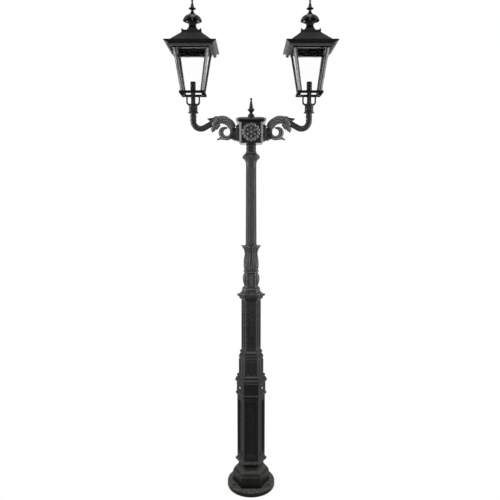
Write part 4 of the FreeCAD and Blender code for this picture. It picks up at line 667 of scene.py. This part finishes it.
def bendPath(points, count):  # smooth line drawn by a few (x, y, z) points: a Bernstein blend of them all
    points = np.array(points)
    t = np.linspace(0.0, 1.0, count)[:, None]
    n = len(points) - 1
    k = np.arange(n + 1)
    weight = np.array([math.comb(n, i) for i in k]) * t ** k * (1.0 - t) ** (n - k)
    return weight @ points


def leafWidth(count, wide, foot, peak, bluntness=0.8, least=0.0004):  # from a foot to a peak, on to a point
    v = np.linspace(0.0, 1.0, count)
    rising = foot + (wide - foot) * np.sin(np.minimum(v / peak, 1.0) * math.pi / 2.0)
    falling = wide * np.cos(np.clip((v - peak) / (1.0 - peak), 0.0, 1.0) * math.pi / 2.0) ** bluntness
    return np.maximum(np.where(v < peak, rising, falling), least)


armLeafLook = dict(  # a lobe is x and z of its root, x and z of its end, its stand-off and its half-width
    tip=[(-0.236, 0.0, 0.101), (-0.260, 0.0, 0.103), (-0.280, 0.0, 0.080), (-0.292, 0.0, 0.087),
         (-0.306, 0.0, 0.097)],
    lobes=[(-0.240, 0.064, -0.274, 0.014, 0.0190, 0.0140), (-0.238, 0.090, -0.268, 0.054, 0.0255, 0.0120),
           (-0.220, 0.062, -0.246, 0.030, 0.0185, 0.0100)],
    tail=[(-0.188, 0.0, -0.041), (-0.206, 0.0, -0.039), (-0.222, 0.0, -0.025), (-0.226, 0.0, -0.049),
          (-0.242, 0.0, -0.046)],
    bud=[(-0.128, 0.0, -0.027), (-0.122, 0.0, -0.039), (-0.116, 0.0, -0.049), (-0.108, 0.0, -0.051)],
    tipSteps=40, lobeSteps=36, tailSteps=36, budSteps=24, budWide=1.2)


def sideLobe(y, x0, z0, x1, z1, out, wide, count):  # rounded lobe on the side y of the tube
    path = bendPath([(x0, y * out, z0), (0.6 * x0 + 0.4 * x1, y * (out + 0.009), 0.6 * z0 + 0.4 * z1),
                     (x1, y * (out + 0.004), z1 + 0.012), (x1 - 0.002, y * out, z1 - 0.006),
                     (x1 + 0.007, y * (out - 0.004), z1)], count)
    half = leafWidth(count, wide, 0.7 * wide, 0.55, 0.5)
    thick = leafWidth(count, 0.0052, 0.0048, 0.5, 0.5)
    return leafBlade(path, (-0.3, y, -0.3), half, thick, 0.3, 0.0012)


def armCarving(look):
    parts = [archLeaf(archLook), scrollHorn(hornLook)]
    count = look["tipSteps"]
    half, thick = leafWidth(count, 0.0200, 0.0150, 0.25), leafWidth(count, 0.0055, 0.0050, 0.2)
    parts.append(leafBlade(bendPath(look["tip"], count), (0.2, 0.0, 1.0), half, thick))
    for y in (-1.0, 1.0):  # the leaf ends in lobes on either side of the tube
        parts += [sideLobe(y, *lobe, look["lobeSteps"]) for lobe in look["lobes"]]
    count = look["tailSteps"]
    half, thick = leafWidth(count, 0.0140, 0.0120, 0.3), leafWidth(count, 0.0065, 0.0060, 0.3)
    parts.append(leafBlade(bendPath(look["tail"], count), (-0.5, 0.0, -1.0), half, thick))
    count = look["budSteps"]  # bud under the root
    radius = np.interp(np.linspace(0.0, 1.0, count), [0.0, 0.6, 1.0], [0.010, 0.0095, 0.002])
    parts.append(tubeAlong(bendPath(look["bud"], count), radius, look["budWide"]))
    return joined(parts)


rollLook = dict(reach=0.1430, rise=0.0030, radius=0.0112, strands=6, twist=360.0, depth=0.16, rings=420,
                columns=32, knob=0.0130, knobRings=36, knobOpen=0.04, knobTwist=2.0, knobDepth=0.20)


def brimRoll(look):
    # rope along three eaves: a bar whose radius dips between winding strands; a grooved knob at each corner
    reach, rise, knob = look["reach"], look["rise"], look["knob"]
    x = np.linspace(-reach, reach, look["rings"])[:, None]
    u = ringAngles(look["columns"])[None, :]
    strands = look["strands"] * u / 2.0
    r = look["radius"] * (1.0 - look["depth"] * (1.0 - np.abs(np.cos(strands + look["twist"] * x))))
    bar = closedSurface(pointGrid(x, r * np.cos(u) - reach, rise + r * np.sin(u)))
    t = np.linspace(look["knobOpen"], math.pi - look["knobOpen"], look["knobRings"])[:, None]
    ridges = np.abs(np.cos(strands + look["knobTwist"] * t))
    k = knob * np.sin(t) * (1.0 - look["knobDepth"] + look["knobDepth"] * ridges)
    end = closedSurface(pointGrid(k * np.cos(u) - reach, k * np.sin(u) - reach, rise + knob * np.cos(t)))
    quarter = math.pi / 2.0
    bars = [turnedZ(bar, way * quarter) for way in (0, 1, 3)]
    return joined(bars + [turnedZ(end, way * quarter) for way in range(4)])


def carve(name, surface, level, body="post", stands=(), shift=0.0, material=carvedCasting):
    addPiece(name, moved(surface, (shift, 0.0, level)), material, body, stands)


armAxis = (footLevel("front_rosette") + topLevel("front_rosette")) / 2.0
lanternAxis = 0.405  # from the post's axis
carve("leafCupCarved", carvedCup(cupLook), footLevel("leaf_cup"), stands=["leaf_cup"])
carve("lowerVaseCarved", carvedVase(vaseLook), footLevel("lower_vase"), stands=["lower_vase"])
rosette = carvedRosette(rosetteLook)
carve("frontRosetteCarved", rosette, armAxis, stands=["front_rosette"], material=rosetteCasting)
carve("backRosetteCarved", turnedZ(rosette, math.pi), armAxis, stands=["back_rosette"], material=rosetteCasting)
carve("neckBeads", beadString(beadLook), footLevel("head_collar"))
leftCarving = armCarving(armLeafLook)
carve("leftArmCarving", leftCarving, armAxis, material=armCasting)
carve("rightArmCarving", mirroredX(leftCarving), armAxis, material=armCasting)
for side, axis in (("left", -lanternAxis), ("right", lanternAxis)):
    carve(side + "BrimRoll", brimRoll(rollLook), topLevel(side + "_top_frame"), side + "_lantern_roof",
          shift=axis, material=rollCasting)
print("carved pieces added")


# stage: pale floor, white surround, softboxes at the sides, above and far in front
def seenRays(tree):  # 1 for rays that bring a picture, 0 for those that only light a surface
    path = tree.nodes.new("ShaderNodeLightPath")
    seen = mathNode(tree, "ADD", path.outputs["Is Camera Ray"], path.outputs["Is Glossy Ray"])
    return mathNode(tree, "ADD", seen, path.outputs["Is Transmission Ray"], True)


floorLook = dict(size=60.0, colour=(0.93, 0.93, 0.93, 1.0), rough=0.9, glow=0.72, shadowNear=0.3, shadowFar=1.3)


def buildFloor(look):  # white far off, takes a soft shadow round the foot
    half = look["size"] / 2.0
    corners = [(-half, -half, 0), (half, -half, 0), (half, half, 0), (-half, half, 0)]
    mesh = bpy.data.meshes.new("floor")
    mesh.from_pydata(corners, [], [(0, 1, 2, 3)])
    floor = bpy.data.objects.new("floor", mesh)
    bpy.context.scene.collection.objects.link(floor)
    material, tree, shader, place = newMaterial("paleFloor", Base_Color=look["colour"],
                                                Roughness=look["rough"], Specular_IOR_Level=0.0)
    far = tree.nodes.new("ShaderNodeVectorMath")
    far.operation = "LENGTH"
    tree.links.new(place, far.inputs[0])
    share = rangeNode(tree, far.outputs["Value"], look["shadowNear"], look["shadowFar"], look["glow"], 1.0)
    glow = tree.nodes.new("ShaderNodeEmission")
    mixShaders(tree, mathNode(tree, "MULTIPLY", seenRays(tree), share), shader, glow)
    mesh.materials.append(material)


roomLook = dict(colour=(1.0, 1.0, 1.0, 1.0), fill=0.30)


def buildRoom(look):  # seen as white, lights less
    world = bpy.data.worlds.new("whiteRoom")
    bpy.context.scene.world = world
    world.use_nodes = True
    tree = world.node_tree
    back = tree.nodes["Background"]
    back.inputs["Color"].default_value = look["colour"]
    tree.links.new(rangeNode(tree, seenRays(tree), 0.0, 1.0, look["fill"], 1.0), back.inputs["Strength"])


def addLamp(name, place, target, size, power):
    lamp = bpy.data.lights.new(name, "AREA")
    lamp.shape = "RECTANGLE"
    lamp.size, lamp.size_y = size
    lamp.energy = power
    lampObject = bpy.data.objects.new(name, lamp)
    bpy.context.scene.collection.objects.link(lampObject)
    x, y, z = np.array(target) - np.array(place)
    lampObject.location = place
    lampObject.rotation_euler = (math.atan2(math.hypot(x, y), -z), 0.0, math.atan2(-x, y))


buildFloor(floorLook)
buildRoom(roomLook)
for way in (-1.0, 1.0):  # a broad box and a narrow strip on either side
    addLamp("sideSoftbox", (way * 3.5, -0.9, 2.2), (0, 0, 1.9), (1.3, 3.8), 45.0)
    addLamp("sideStrip", (way * 3.3, -0.2, 2.2), (0, 0, 2.0), (0.28, 3.6), 115.0)
addLamp("topSoftbox", (0.0, -3.0, 9.0), (0, -3.0, 0.0), (3.0, 8.0), 400.0)  # over the mouldings' sloping tops
addLamp("frontSoftbox", (0.0, -8.0, 0.8), (0, 0, 0.6), (3.0, 0.8), 60.0)  # for the sills and the foot
print("stage and lamps set")

# camera at the photograph's place
cameraLook = dict(place=(-0.008, -3.383, 2.189), pitch=-4.81, lens=34.2, sensor=36.0, shift=-0.0421)
camera = bpy.data.cameras.new("photoCamera")
camera.lens = cameraLook["lens"]
camera.sensor_width = cameraLook["sensor"]
camera.shift_y = cameraLook["shift"]
cameraObject = bpy.data.objects.new("photoCamera", camera)
cameraObject.location = cameraLook["place"]
cameraObject.rotation_euler = (math.radians(90.0 + cameraLook["pitch"]), 0.0, 0.0)
bpy.context.scene.collection.objects.link(cameraObject)
bpy.context.scene.camera = cameraObject
bpy.context.scene.view_settings.view_transform = "Standard"
print("camera placed")
